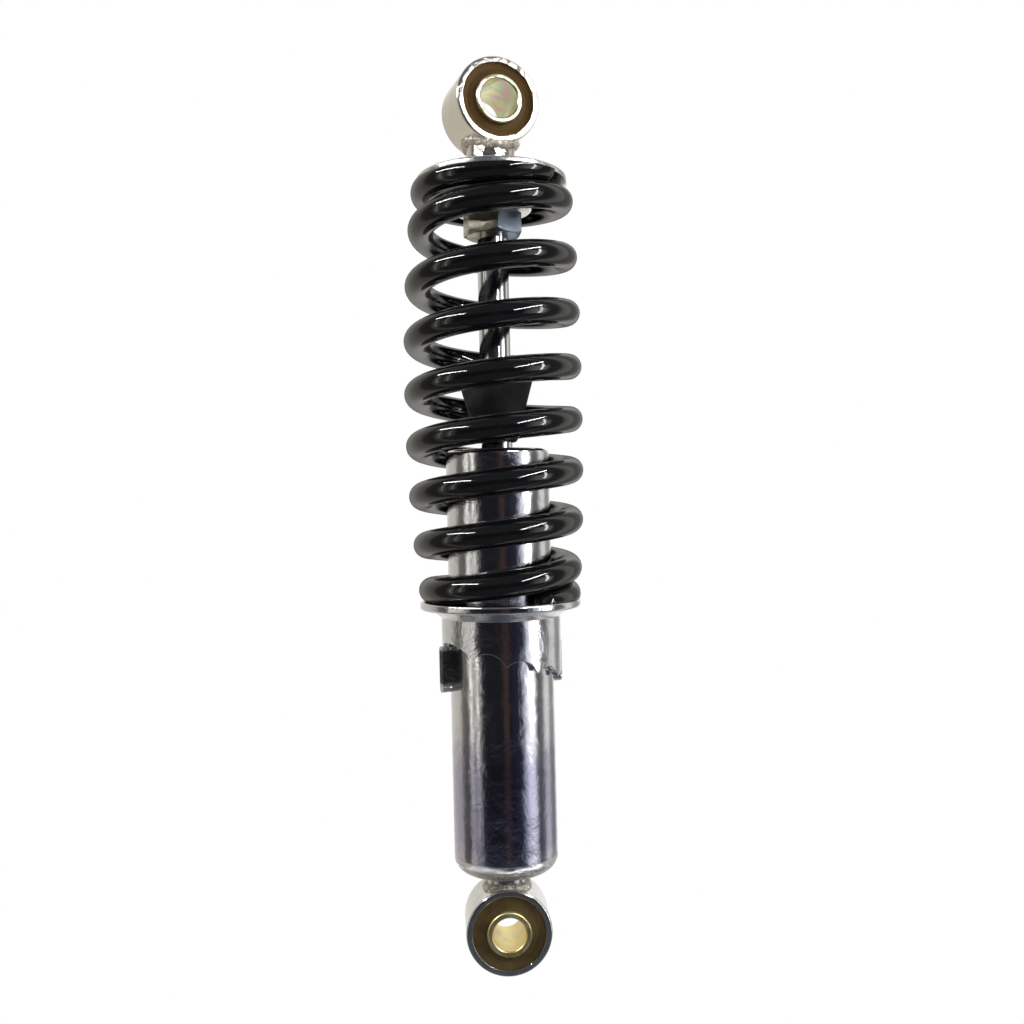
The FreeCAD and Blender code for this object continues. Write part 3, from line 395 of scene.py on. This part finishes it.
# Each finish: group, the group's inputs, metallic, coat weight, bump distance in metres.
FINISHES = {
    "tube_chrome": ("Worn Plate", {
        "Color": rgb(0.82, 0.82, 0.84), "Haze Color": rgb(0.74, 0.75, 0.78), "Roughness": 0.04,
        "Haze": 0.55, "Haze Size": 170.0, "Scratches": 0.7, "Grain": (1400.0, 1400.0, 24.0),
        "Pits": 0.3, "Ripple": 9.0, "Band Color": rgb(0.50, 0.49, 0.62), "Band Low": 0.022,
        "Band High": 0.058, "Band Soft": 0.018, "Band Roughness": 0.02}, 1.0, 0.0, 0.00002),
    "collar_chrome": ("Worn Plate", {
        "Color": rgb(0.80, 0.80, 0.82), "Haze Color": rgb(0.70, 0.71, 0.74), "Roughness": 0.05,
        "Haze": 0.5, "Haze Size": 110.0, "Scratches": 0.35, "Grain": (120.0, 120.0, 2600.0),
        "Pits": 0.15, "Ripple": 12.0}, 1.0, 0.0, 0.00003),
    "base_chrome": ("Worn Plate", {
        "Color": rgb(0.76, 0.76, 0.77), "Haze Color": rgb(0.66, 0.65, 0.64), "Roughness": 0.10,
        "Haze": 0.6, "Haze Size": 220.0, "Scratches": 0.5, "Grain": (120.0, 120.0, 2000.0),
        "Pits": 0.5, "Ripple": 6.0, "Band Color": rgb(0.62, 0.61, 0.60), "Band Low": 0.0168,
        "Band High": 0.0219, "Band Soft": 0.0016, "Band Roughness": 0.03, "Band Lumps": 9.0},
        1.0, 0.0, 0.00016),
    "seat_nickel": ("Worn Plate", {
        "Color": rgb(0.80, 0.79, 0.76), "Haze Color": rgb(0.70, 0.69, 0.66), "Roughness": 0.20,
        "Haze": 0.5, "Haze Size": 150.0, "Scratches": 0.6, "Grain": (90.0, 90.0, 2600.0),
        "Pits": 0.25, "Ripple": 1.0}, 1.0, 0.0, 0.00004),
    "eye_upper": ("Worn Plate", {
        "Color": rgb(0.76, 0.71, 0.62), "Haze Color": rgb(0.66, 0.62, 0.54), "Roughness": 0.10,
        "Haze": 0.12, "Haze Size": 330.0, "Scratches": 0.25, "Grain": (200.0, 1600.0, 200.0),
        "Pits": 0.35, "Ripple": 7.0}, 1.0, 0.0, 0.00003),
    "eye_lower": ("Worn Plate", {
        "Color": rgb(0.76, 0.75, 0.73), "Haze Color": rgb(0.60, 0.59, 0.56), "Roughness": 0.12,
        "Haze": 0.4, "Haze Size": 260.0, "Scratches": 0.3, "Grain": (200.0, 1600.0, 200.0),
        "Pits": 0.25, "Ripple": 2.0}, 1.0, 0.0, 0.00003),
    "weld": ("Worn Plate", {
        "Color": rgb(0.66, 0.62, 0.54), "Haze Color": rgb(0.30, 0.26, 0.20), "Roughness": 0.26,
        "Haze": 0.9, "Haze Size": 420.0, "Scratches": 0.0, "Pits": 0.7, "Ripple": 6.0},
        1.0, 0.0, 0.00022),
    # On the preload stops the band is painted dark reflection: a near-black colour on the lugs'
    # side faces, where they mirror the dark room in front.
    "stop_steel": ("Worn Plate", {
        "Color": rgb(0.72, 0.71, 0.68), "Haze Color": rgb(0.5, 0.49, 0.47), "Roughness": 0.15,
        "Haze": 0.6, "Haze Size": 500.0, "Scratches": 0.2, "Pits": 0.5, "Ripple": 4.0,
        "Band Color": rgb(0.045, 0.043, 0.042), "Band Low": 0.0784, "Band High": 0.0889,
        "Band Soft": 0.0012, "Band Roughness": 0.25, "Band Lumps": 5.0}, 1.0, 0.0, 0.00016),
    "rod_chrome": ("Worn Plate", {
        "Color": rgb(0.82, 0.82, 0.83), "Haze Color": rgb(0.7, 0.7, 0.7), "Roughness": 0.11,
        "Haze": 0.12, "Haze Size": 90.0, "Scratches": 0.35, "Grain": (60.0, 60.0, 3000.0),
        "Pits": 0.03, "Ripple": 0.1}, 1.0, 0.0, 0.000012),
    "inner_metal": ("Worn Plate", {
        "Color": rgb(0.52, 0.52, 0.52), "Haze Color": rgb(0.36, 0.35, 0.33), "Roughness": 0.28,
        "Haze": 0.4, "Haze Size": 120.0, "Scratches": 0.5, "Grain": (80.0, 80.0, 2400.0),
        "Pits": 0.2, "Ripple": 0.5}, 1.0, 0.0, 0.00003),
    "valve_brass": ("Worn Plate", {
        "Color": rgb(0.70, 0.50, 0.20), "Haze Color": rgb(0.44, 0.30, 0.13), "Roughness": 0.24,
        "Haze": 0.5, "Haze Size": 200.0, "Scratches": 0.5, "Grain": (80.0, 80.0, 2400.0),
        "Pits": 0.2, "Ripple": 0.5}, 1.0, 0.0, 0.00003),
    "bush_lower": ("Moulded Rubber", bush_inputs("lower"), 0.0, 0.0, 0.00006),
    "bush_upper": ("Moulded Rubber", bush_inputs("upper"), 0.0, 0.0, 0.00006),
    "bump_rubber": ("Moulded Rubber", {
        "Color": rgb(0.012, 0.012, 0.013), "Dust Color": rgb(0.05, 0.046, 0.042), "Dust": 0.5,
        "Roughness": 0.55, "Cloud Size": 90.0}, 0.0, 0.0, 0.00008),
    "seal_rubber": ("Moulded Rubber", {
        "Color": rgb(0.012, 0.012, 0.012), "Dust Color": rgb(0.04, 0.038, 0.036), "Dust": 0.3,
        "Roughness": 0.5}, 0.0, 0.0, 0.00005),
    "zinc_upper": ("Passivated Zinc", {
        "Color": rgb(0.80, 0.74, 0.44), "Second": rgb(0.56, 0.72, 0.46),
        "Third": rgb(0.86, 0.52, 0.56),
        "Bloom": 0.85, "Bloom Size": 150.0, "Roughness": 0.14}, 1.0, 0.0, 0.00002),
    "zinc_lower": ("Passivated Zinc", {
        "Color": rgb(0.96, 0.80, 0.34), "Second": rgb(0.98, 0.90, 0.56),
        "Third": rgb(0.86, 0.70, 0.26),
        "Bloom": 0.5, "Bloom Size": 190.0, "Roughness": 0.34}, 1.0, 0.0, 0.00002),
    # The nut's faces towards +X carry a painted reflection, a cool blue-grey tint.
    "nut_zinc": ("Passivated Zinc", {
        "Color": rgb(0.62, 0.57, 0.43), "Second": rgb(0.46, 0.43, 0.35),
        "Third": rgb(0.66, 0.58, 0.38),
        "Bloom": 0.5, "Bloom Size": 260.0, "Roughness": 0.30, "Side": 1.0,
        "Painted Reflection Color": rgb(0.50, 0.58, 0.68)}, 1.0, 0.0, 0.00004),
    "spring_black": ("Powder Coat", {}, 0.0, 0.35, 0.00003),
}

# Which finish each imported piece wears.
WEARS = {
    "lower_eye": "eye_lower", "upper_eye": "eye_upper", "lower_bush": "bush_lower",
    "upper_bush": "bush_upper", "lower_sleeve": "zinc_lower", "upper_sleeve": "zinc_upper",
    "damper_tube": "tube_chrome", "base_cup": "base_chrome", "preload_stops": "stop_steel",
    "preload_collar": "collar_chrome", "lower_seat": "collar_chrome", "upper_seat": "seat_nickel",
    "lock_nut": "nut_zinc", "bump_stop": "bump_rubber", "piston_rod": "rod_chrome",
    "oil_seal": "seal_rubber", "guide_o_ring": "seal_rubber", "piston_band": "seal_rubber",
    "guide_bush": "valve_brass", "foot_valve_disc": "valve_brass", "check_disc": "valve_brass",
    "bleed_disc": "valve_brass",
}


def look(name):
    """A finish's material name, kept apart from the names that come with the frame."""
    return f"look_{name}"


def add_dull_rim(net, shader, output):
    """Turn a glossy coat to a dull grey-brown where it is seen nearly edge on."""
    rim = net.add("ShaderNodeBsdfPrincipled", {
        "Base Color": RIM_COLOR, "Roughness": RIM_ROUGHNESS, "Specular IOR Level": RIM_SPECULAR})
    facing = net.add("ShaderNodeLayerWeight", {"Blend": 0.5}).outputs["Facing"]
    share = net.ramp(facing, *RIM_SPAN, 0.0, RIM_SHARE)
    both = net.add("ShaderNodeMixShader", {0: share, 1: shader.outputs[0], 2: rim.outputs[0]})
    net.tree.links.new(both.outputs[0], output.inputs["Surface"])


def make_finish(name):
    """One material: a Principled shader fed by its group's colour, roughness and height.

    Metal has softened edges, so that a sharp corner catches a thin line of light.
    """
    group, inputs, metallic, coat, depth = FINISHES[name]
    material = bpy.data.materials.new(look(name))
    material.use_nodes = True
    net = Net(material.node_tree)
    shader = material.node_tree.nodes["Principled BSDF"]
    surface = net.add("ShaderNodeGroup", node_tree=bpy.data.node_groups[group])
    for key, given in inputs.items():
        surface.inputs[key].default_value = given
    bump = net.add("ShaderNodeBump", {"Distance": depth, "Strength": 1.0,
                                      "Height": surface.outputs["Height"]})
    links = material.node_tree.links
    if metallic:
        soft_edge = net.add("ShaderNodeBevel", {"Radius": EDGE_SOFTNESS}, samples=EDGE_SAMPLES)
        links.new(soft_edge.outputs["Normal"], bump.inputs["Normal"])
    links.new(surface.outputs["Color"], shader.inputs["Base Color"])
    links.new(surface.outputs["Roughness"], shader.inputs["Roughness"])
    links.new(bump.outputs["Normal"], shader.inputs["Normal"])
    if group == "Powder Coat":
        add_dull_rim(net, shader, material.node_tree.nodes["Material Output"])
    shader.inputs["Metallic"].default_value = metallic
    shader.inputs["Coat Weight"].default_value = coat
    if group == "Moulded Rubber":
        shader.inputs["Specular IOR Level"].default_value = RUBBER_SPECULAR
    shader.inputs["Coat Roughness"].default_value = COAT_ROUGHNESS
    return material


def wear(obj, name):
    """Give an object one finish in place of any it came with."""
    obj.data.materials.clear()
    obj.data.materials.append(bpy.data.materials[look(name)])


# ---- surfaces ----

def new_piece(name, points, faces, finish):
    """A smooth-shaded mesh object from whole arrays, at the origin and unturned."""
    mesh = bpy.data.meshes.new(name)
    mesh.from_pydata(points.tolist(), [], faces)
    mesh.update()
    mesh.polygons.foreach_set("use_smooth", [True] * len(mesh.polygons))
    obj = bpy.data.objects.new(name, mesh)
    bpy.context.scene.collection.objects.link(obj)
    wear(obj, finish)
    return obj


def tube_faces(rings, sides):
    """Quads between neighbouring rings of one closed tube, facing outwards."""
    along, round_ = np.meshgrid(np.arange(rings - 1), np.arange(sides), indexing="ij")
    nxt = (round_ + 1) % sides
    quads = np.stack([along * sides + round_, along * sides + nxt, (along + 1) * sides + nxt,
                      (along + 1) * sides + round_], axis=-1)
    return quads.reshape(-1, 4).tolist()


def hermite(s, slope_start, slope_end):
    """A smooth step from 0 to 1 with given end slopes."""
    return (slope_start * (s ** 3 - 2 * s * s + s) + slope_end * (s ** 3 - s * s)
            + 3 * s * s - 2 * s ** 3)


def end_rise(n, slope):
    """Height of the wire's centre above its seat, n half turns from where the coil leaves it."""
    pitch = WIRE + TOUCH_GAP
    shifted = np.where(n < -1, n + 2, n)
    step = hermite(np.clip(shifted, 0, 1), FIRST_SLOPE, slope / FIRST_LIFT)
    free = GROUND_HEIGHT + FIRST_LIFT * step
    lying = GROUND_HEIGHT - (FIRST_LIFT - pitch) * n
    return np.where((n < 0) & (n >= -1), lying, free) - np.where(n < -1, pitch, 0.0)


def coil_height(n):
    """Height of the wire's centre, n half turns up from the lower seat's contact."""
    rise = GROUND_HEIGHT + FIRST_LIFT
    reach = SPRING_HIGH - SPRING_LOW - 2 * rise
    slope = reach / (HALF_TURNS - 2)
    u = (n - 1) / (HALF_TURNS - 2)
    middle = SPRING_LOW + rise + reach * (u + LEAN * (u * u - u))
    low = SPRING_LOW + end_rise(n, slope * (1 - LEAN))
    high = SPRING_HIGH - end_rise(HALF_TURNS - n, slope * (1 + LEAN))
    return np.where(n < 1, low, np.where(n > HALF_TURNS - 1, high, middle))


def coil_centre(n):
    """Centres of the wire: a barrel-shaped helix that bows a little to -X at mid height."""
    z = coil_height(n)
    u = np.clip((z - SPRING_LOW) / (SPRING_HIGH - SPRING_LOW), 0, 1)
    radius = END_RADIUS + (MIDDLE_RADIUS - END_RADIUS) * (1 - np.abs(2 * u - 1) ** BARREL_POWER)
    angle = np.radians(START_DEG + 180 * n)
    bow = BOW * np.sin(np.pi * u)
    return np.stack([radius * np.sin(angle) - bow, -radius * np.cos(angle), z], axis=1)


def joined(rows, extra, way):
    """Rows with more before the first (way -1) or after the last (way +1)."""
    return np.concatenate((rows, extra) if way > 0 else (extra, rows))


def crease_rim(obj, low, high):
    """Keep a flat end's rim sharp in the shading; its points are numbered low to high."""
    mesh = obj.data
    ends = np.empty(len(mesh.edges) * 2, np.int32)
    mesh.edges.foreach_get("vertices", ends)
    on_rim = ((ends >= low) & (ends < high)).reshape(-1, 2).all(axis=1)
    crease = mesh.attributes.new("sharp_edge", "BOOLEAN", "EDGE")
    crease.data.foreach_set("value", on_rim)


def coil_piece(name, start, end, round_start, round_end, settings):
    """A round wire swept along the coil's path from start to end half turns, with its ends closed.

    Each ring of the surface is centre + radius * (across * cos + up * sin), where across points
    away from the coil's axis and up is square to it and to the path. A free end is rounded over a
    small quarter circle, and heights are kept between the two seats, which grinds the ends flat.
    """
    count = int((end - start) * settings.rings_per_half_turn) + 1
    sides = settings.wire_sides
    n = np.linspace(start, end, count)
    centre = coil_centre(n)
    ahead = coil_centre(n + PATH_STEP) - coil_centre(n - PATH_STEP)
    tangent = ahead / np.linalg.norm(ahead, axis=1, keepdims=True)
    outward = centre * (1.0, 1.0, 0.0)
    outward -= tangent * np.sum(outward * tangent, axis=1, keepdims=True)
    across = outward / np.linalg.norm(outward, axis=1, keepdims=True)
    up = np.cross(tangent, across)
    radius = np.full(count, WIRE / 2)
    quarter = np.linspace(0, np.pi / 2, END_RINGS + 1)[1:]
    for rounded, end_row, way in ((round_start, 0, -1), (round_end, -1, 1)):
        if not rounded:
            continue
        arc = quarter[::way]
        shift = way * END_ROUND * np.sin(arc)[:, None] * tangent[end_row]
        shrink = END_ROUND * (1 - np.cos(arc))
        centre = joined(centre, centre[end_row] + shift, way)
        radius = joined(radius, WIRE / 2 - shrink, way)
        across, up, tangent, n = (joined(rows, rows[[end_row] * END_RINGS], way)
                                  for rows in (across, up, tangent, n))
    turn = 2 * np.pi * np.arange(sides) / sides
    ring = across[:, None, :] * np.cos(turn)[:, None] + up[:, None, :] * np.sin(turn)[:, None]
    points = (centre[:, None, :] + ring * radius[:, None, None]).reshape(-1, 3)
    points = np.vstack([points, centre[0], centre[-1]])
    points[:, 2] = np.clip(points[:, 2], SPRING_LOW, SPRING_HIGH)
    rings = len(centre)
    faces = tube_faces(rings, sides)
    first, last, base = rings * sides, rings * sides + 1, (rings - 1) * sides
    for i in range(sides):
        j = (i + 1) % sides
        faces.append((first, j, i))
        faces.append((last, base + i, base + j))
    obj = new_piece(name, points, faces, "spring_black")
    for rounded, low in ((round_start, 0), (round_end, base)):
        if not rounded:
            crease_rim(obj, low, low + sides)
    return obj, np.concatenate([np.repeat(n, sides), n[[0, -1]]])


def weld_bead(name, ring_radius, z, bead, lumps, seed, settings, barrel=None):
    """A welded seam round Z: a ring whose thickness swells with a few waves and a chance part.

    Point = ring radius and height, plus bead * swell * (outwards * cos + up * sin). Against a
    barrel, given as (height of its axis, turn, +1 above or -1 below), the ring's height follows
    its round.
    """
    rings, sides = settings.bead_rings, BEAD_SIDES
    chance = np.random.default_rng(seed)
    angle = 2 * np.pi * np.arange(rings) / rings
    second_waves = math.floor(SECOND_RATE * lumps)
    swell = (1 + MAIN_SWELL * np.sin(lumps * angle)
             + SECOND_SWELL * np.sin(second_waves * angle + SECOND_PHASE))
    for wave in CHANCE_WAVES:
        amount = CHANCE_SWELL * chance.normal()
        swell += amount * np.sin(wave * angle + chance.uniform(0, CHANCE_PHASE))
    turn = 2 * np.pi * np.arange(sides) / sides
    reach = ring_radius + bead * swell[:, None] * np.cos(turn)
    x, y = reach * np.cos(angle)[:, None], reach * np.sin(angle)[:, None]
    middle = z
    if barrel:
        axis_z, barrel_turn, way = barrel
        off_axis = ring_radius * np.cos(angle - barrel_turn)
        middle = (axis_z + way * np.sqrt(EYE_RADIUS ** 2 - off_axis ** 2))[:, None]
    height = middle + bead * swell[:, None] * np.sin(turn)
    points = np.stack([x, y, height], axis=-1).reshape(-1, 3)
    along, side = np.meshgrid(np.arange(rings), np.arange(sides), indexing="ij")
    ahead, beside = (along + 1) % rings, (side + 1) % sides
    quads = np.stack([along * sides + side, ahead * sides + side, ahead * sides + beside,
                      along * sides + beside], axis=-1).reshape(-1, 4).tolist()
    return new_piece(name, points, quads, "weld")


# ---- settings and operators ----

class ShockCoil(bpy.types.PropertyGroup):
    """How finely the coil spring is drawn"""
    rings_per_half_turn: bpy.props.IntProperty(
        name="Rings per half turn", description="How finely the wire's path is drawn", default=56,
        min=8, max=200)
    wire_sides: bpy.props.IntProperty(
        name="Wire sides", description="Points round the wire's section", default=32, min=8, max=96)


class ShockWelds(bpy.types.PropertyGroup):
    """Sizes of the welded seams"""
    bead_rings: bpy.props.IntProperty(
        name="Bead rings", description="Sections round each welded seam", default=220,
        min=24, max=600)
    lower_bead: bpy.props.FloatProperty(
        name="Lower bead", description="Radius of the seam under the base", default=0.0013,
        min=0.0003, max=0.003, unit="LENGTH")
    upper_bead: bpy.props.FloatProperty(
        name="Upper bead", description="Radius of the seam where the upper neck meets its seat",
        default=0.0015, min=0.0003, max=0.003, unit="LENGTH")


class ShockStage(bpy.types.PropertyGroup):
    """Strength of the lights and colour of the floor"""
    key_power: bpy.props.FloatProperty(
        name="Right strip", description="Power of the tall strip light at the right", default=1.2,
        min=0.0, unit="POWER")
    rim_power: bpy.props.FloatProperty(
        name="Left strips", description="Power of the two narrow lights at the left", default=0.10,
        min=0.0, unit="POWER")
    tube_power: bpy.props.FloatProperty(
        name="Overhead tubes", description="Power of each overhead tube light", default=4.2,
        min=0.0, unit="POWER")
    room: bpy.props.FloatProperty(
        name="Room", description="Brightness of the room round the object", default=1.0, min=0.0)
    floor_color: bpy.props.FloatVectorProperty(
        name="Floor", description="Colour of the pale floor", subtype="COLOR",
        default=(0.86, 0.86, 0.86), min=0.0, max=1.0)


class SHOCK_OT_finishes(bpy.types.Operator):
    """Make the shared shader groups and the finishes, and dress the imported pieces"""
    bl_idname = "shock.finishes"
    bl_label = "Finishes"

    def execute(self, context):
        for name, (inputs, build) in GROUPS.items():
            new_group(name, inputs, build)
        for name in FINISHES:
            make_finish(name)
        for name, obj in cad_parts.items():
            wear(obj, WEARS.get(name, "inner_metal"))
        return {"FINISHED"}


class SHOCK_OT_spring(bpy.types.Operator):
    """Draw the coil spring in two lengths and hide the imported spring"""
    bl_idname = "shock.spring"
    bl_label = "Coil spring"

    def execute(self, context):
        settings = context.scene.shock_coil
        first, last = -TAIL, HALF_TURNS + TAIL
        lower, n_lower = coil_piece("spring_lower", first, SPLIT_TURN, True, False, settings)
        upper, n_upper = coil_piece("spring_upper", SPLIT_TURN, last, False, True, settings)
        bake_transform(lower)
        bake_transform(upper)
        for obj in (lower, upper):
            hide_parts("spring")
        return {"FINISHED"}


class SHOCK_OT_welds(bpy.types.Operator):
    """Draw the welded seams at the necks of the two eyes"""
    bl_idname = "shock.welds"
    bl_label = "Welded seams"

    def execute(self, context):
        settings = context.scene.shock_welds
        for name, neck, outside, z, lumps, seed, against, body in SEAMS:
            bead = settings.lower_bead if body == "damper_body" else settings.upper_bead
            barrel = (*EYE_HEIGHTS[against[0]], against[1]) if against else None
            obj = weld_bead(name, neck + outside, z, bead, lumps, seed, settings, barrel)
            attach(obj, body)
        return {"FINISHED"}


def area_light(name, place, target, width, height, power, tint=(1.0, 1.0, 1.0)):
    """A rectangular light at place that faces target, its height upright."""
    data = bpy.data.lights.new(name, "AREA")
    data.shape, data.size, data.size_y = "RECTANGLE", width, height
    data.energy, data.color = power, tint
    obj = bpy.data.objects.new(name, data)
    obj.location = place
    obj.rotation_mode = "QUATERNION"
    obj.rotation_quaternion = (Vector(target) - Vector(place)).to_track_quat("-Z", "Y")
    bpy.context.scene.collection.objects.link(obj)
    return obj


def line_light(name, start, end, target, width, power):
    """A long thin light from start to end that faces target."""
    start, end = Vector(start), Vector(end)
    place = (start + end) / 2
    obj = area_light(name, place, target, (end - start).length, width, power)
    back = (place - Vector(target)).normalized()
    along = (end - start).normalized()
    along -= back * along.dot(back)
    along.normalize()
    across = back.cross(along)
    turn = Matrix((along, across, back)).transposed()
    obj.rotation_quaternion = turn.to_quaternion()
    return obj


def around(azimuth, distance, z):
    """A point at an azimuth in degrees right of the viewer."""
    a = math.radians(azimuth)
    return distance * math.sin(a), -distance * math.cos(a), z


def make_world(room):
    """A white backdrop for the camera, and a room of soft bands for everything else."""
    world = bpy.data.worlds.new("studio")
    bpy.context.scene.world = world
    world.use_nodes = True
    tree = world.node_tree
    tree.nodes.clear()
    net = Net(tree)
    toward = net.split(net.add("ShaderNodeTexCoord").outputs["Generated"])
    azimuth = net.math("ARCTAN2", toward["X"], net.math("MULTIPLY", toward["Y"], -1.0))
    share = net.math("ADD", net.math("DIVIDE", azimuth, 2 * math.pi), 0.5)
    bands = net.add("ShaderNodeValToRGB", {0: share})
    elements = bands.color_ramp.elements
    while len(elements) > 1:
        elements.remove(elements[-1])
    for i, (degrees, *tint) in enumerate(STUDIO_BANDS):
        position = (degrees + 180) / 360
        element = elements[0] if i == 0 else elements.new(position)
        element.position = position
        element.color = (*tint, 1.0)
    front = net.ramp(toward["Y"], *FRONT_SPAN)
    color = bands.outputs["Color"]
    for start, full, plain in (ROOM_ABOVE, ROOM_BELOW):
        amount = net.math("MULTIPLY", net.ramp(toward["Z"], start, full), front)
        color = net.mix(amount, color, plain)
    seen = net.add("ShaderNodeLightPath").outputs["Is Camera Ray"]
    dark = net.add("ShaderNodeBackground", {"Color": color, "Strength": room})
    white = net.add("ShaderNodeBackground", {"Color": (1, 1, 1, 1), "Strength": 1.0})
    both = net.add("ShaderNodeMixShader", {0: seen, 1: dark.outputs[0], 2: white.outputs[0]})
    net.add("ShaderNodeOutputWorld", {"Surface": both.outputs[0]})


def make_floor(color):
    """A wide plain floor, pale to the eye and left out of reflections."""
    corners = np.array([(x * FLOOR_HALF, y * FLOOR_HALF, FLOOR_Z)
                        for x, y in ((-1, -1), (1, -1), (1, 1), (-1, 1))])
    material = bpy.data.materials.new(look("pale_floor"))
    material.use_nodes = True
    tree = material.node_tree
    shader = tree.nodes["Principled BSDF"]
    shader.inputs["Base Color"].default_value = (*color, 1.0)
    shader.inputs["Roughness"].default_value = 0.8
    net = Net(tree)
    glow = net.add("ShaderNodeEmission", {"Color": (1, 1, 1, 1), "Strength": 1.0})
    seen = net.add("ShaderNodeLightPath").outputs["Is Camera Ray"]
    both = net.add("ShaderNodeMixShader", {0: seen, 1: shader.outputs[0], 2: glow.outputs[0]})
    tree.links.new(both.outputs[0], tree.nodes["Material Output"].inputs["Surface"])
    floor = new_piece("floor", corners, [(0, 1, 2, 3)], "pale_floor")
    floor.visible_glossy = False


def make_camera():
    """The camera in front, a little left, level with the tube's head, leaning by a small roll."""
    azimuth, roll = math.radians(CAMERA_AZIMUTH), math.radians(CAMERA_ROLL)
    forward = Vector((-math.sin(azimuth), math.cos(azimuth), 0.0))
    right = Vector((forward.y, -forward.x, 0.0))
    upward = Vector((0.0, 0.0, 1.0))
    rolled_right = right * math.cos(roll) + upward * math.sin(roll)
    rolled_up = upward * math.cos(roll) - right * math.sin(roll)
    place = -forward * CAMERA_DISTANCE + right * CAMERA_ASIDE + upward * CAMERA_HEIGHT
    data = bpy.data.cameras.new("camera")
    data.lens, data.sensor_width, data.shift_y = CAMERA_LENS, CAMERA_SENSOR, CAMERA_SHIFT
    data.clip_start, data.clip_end = CAMERA_NEAR, CAMERA_FAR
    camera = bpy.data.objects.new("camera", data)
    camera.matrix_world = Matrix((
        (rolled_right.x, rolled_up.x, -forward.x, place.x),
        (rolled_right.y, rolled_up.y, -forward.y, place.y),
        (rolled_right.z, rolled_up.z, -forward.z, place.z),
        (0.0, 0.0, 0.0, 1.0)))
    bpy.context.scene.collection.objects.link(camera)
    bpy.context.scene.camera = camera


class SHOCK_OT_stage(bpy.types.Operator):
    """Set up the pale floor, the studio lights, the room and the camera"""
    bl_idname = "shock.stage"
    bl_label = "Stage"

    def execute(self, context):
        settings = context.scene.shock_stage
        make_world(settings.room)
        make_floor(settings.floor_color)
        name, place, width, length = RIGHT_STRIP
        area_light(name, around(*place), LIT_POINT, width, length, settings.key_power)
        for name, place, width, length in LEFT_STRIPS:
            area_light(name, around(*place), LIT_POINT, width, length, settings.rim_power,
                       LEFT_TINT)
        for name, start, end in TUBES:
            line_light(name, around(*start), around(*end), LIT_POINT, TUBE_WIDTH,
                       settings.tube_power)
        make_camera()
        context.scene.view_settings.view_transform = "Standard"
        return {"FINISHED"}


OPERATORS = (SHOCK_OT_finishes, SHOCK_OT_spring, SHOCK_OT_welds, SHOCK_OT_stage)
SETTINGS = {"shock_coil": ShockCoil, "shock_welds": ShockWelds, "shock_stage": ShockStage}


class SHOCK_PT_panel(bpy.types.Panel):
    """Lists the sizes, colours and steps of the shock absorber"""
    bl_idname = "SHOCK_PT_panel"
    bl_label = "Rear shock absorber"
    bl_space_type = "VIEW_3D"
    bl_region_type = "UI"
    bl_category = "Shock"

    def draw(self, context):
        for name, kind in SETTINGS.items():
            group = getattr(context.scene, name)
            box = self.layout.box()
            for key in kind.__annotations__:
                box.prop(group, key)
        for operator in OPERATORS:
            self.layout.operator(operator.bl_idname)


CLASSES = (*SETTINGS.values(), *OPERATORS, SHOCK_PT_panel)


def register():
    for cls in CLASSES:
        bpy.utils.register_class(cls)
    for name, cls in SETTINGS.items():
        setattr(bpy.types.Scene, name, bpy.props.PointerProperty(type=cls))


def unregister():
    for name in SETTINGS:
        delattr(bpy.types.Scene, name)
    for cls in reversed(CLASSES):
        bpy.utils.unregister_class(cls)


def main():
    register()
    for operator in OPERATORS:
        family, step = operator.bl_idname.split(".")
        getattr(getattr(bpy.ops, family), step)()


if __name__ == "__main__":
    main()
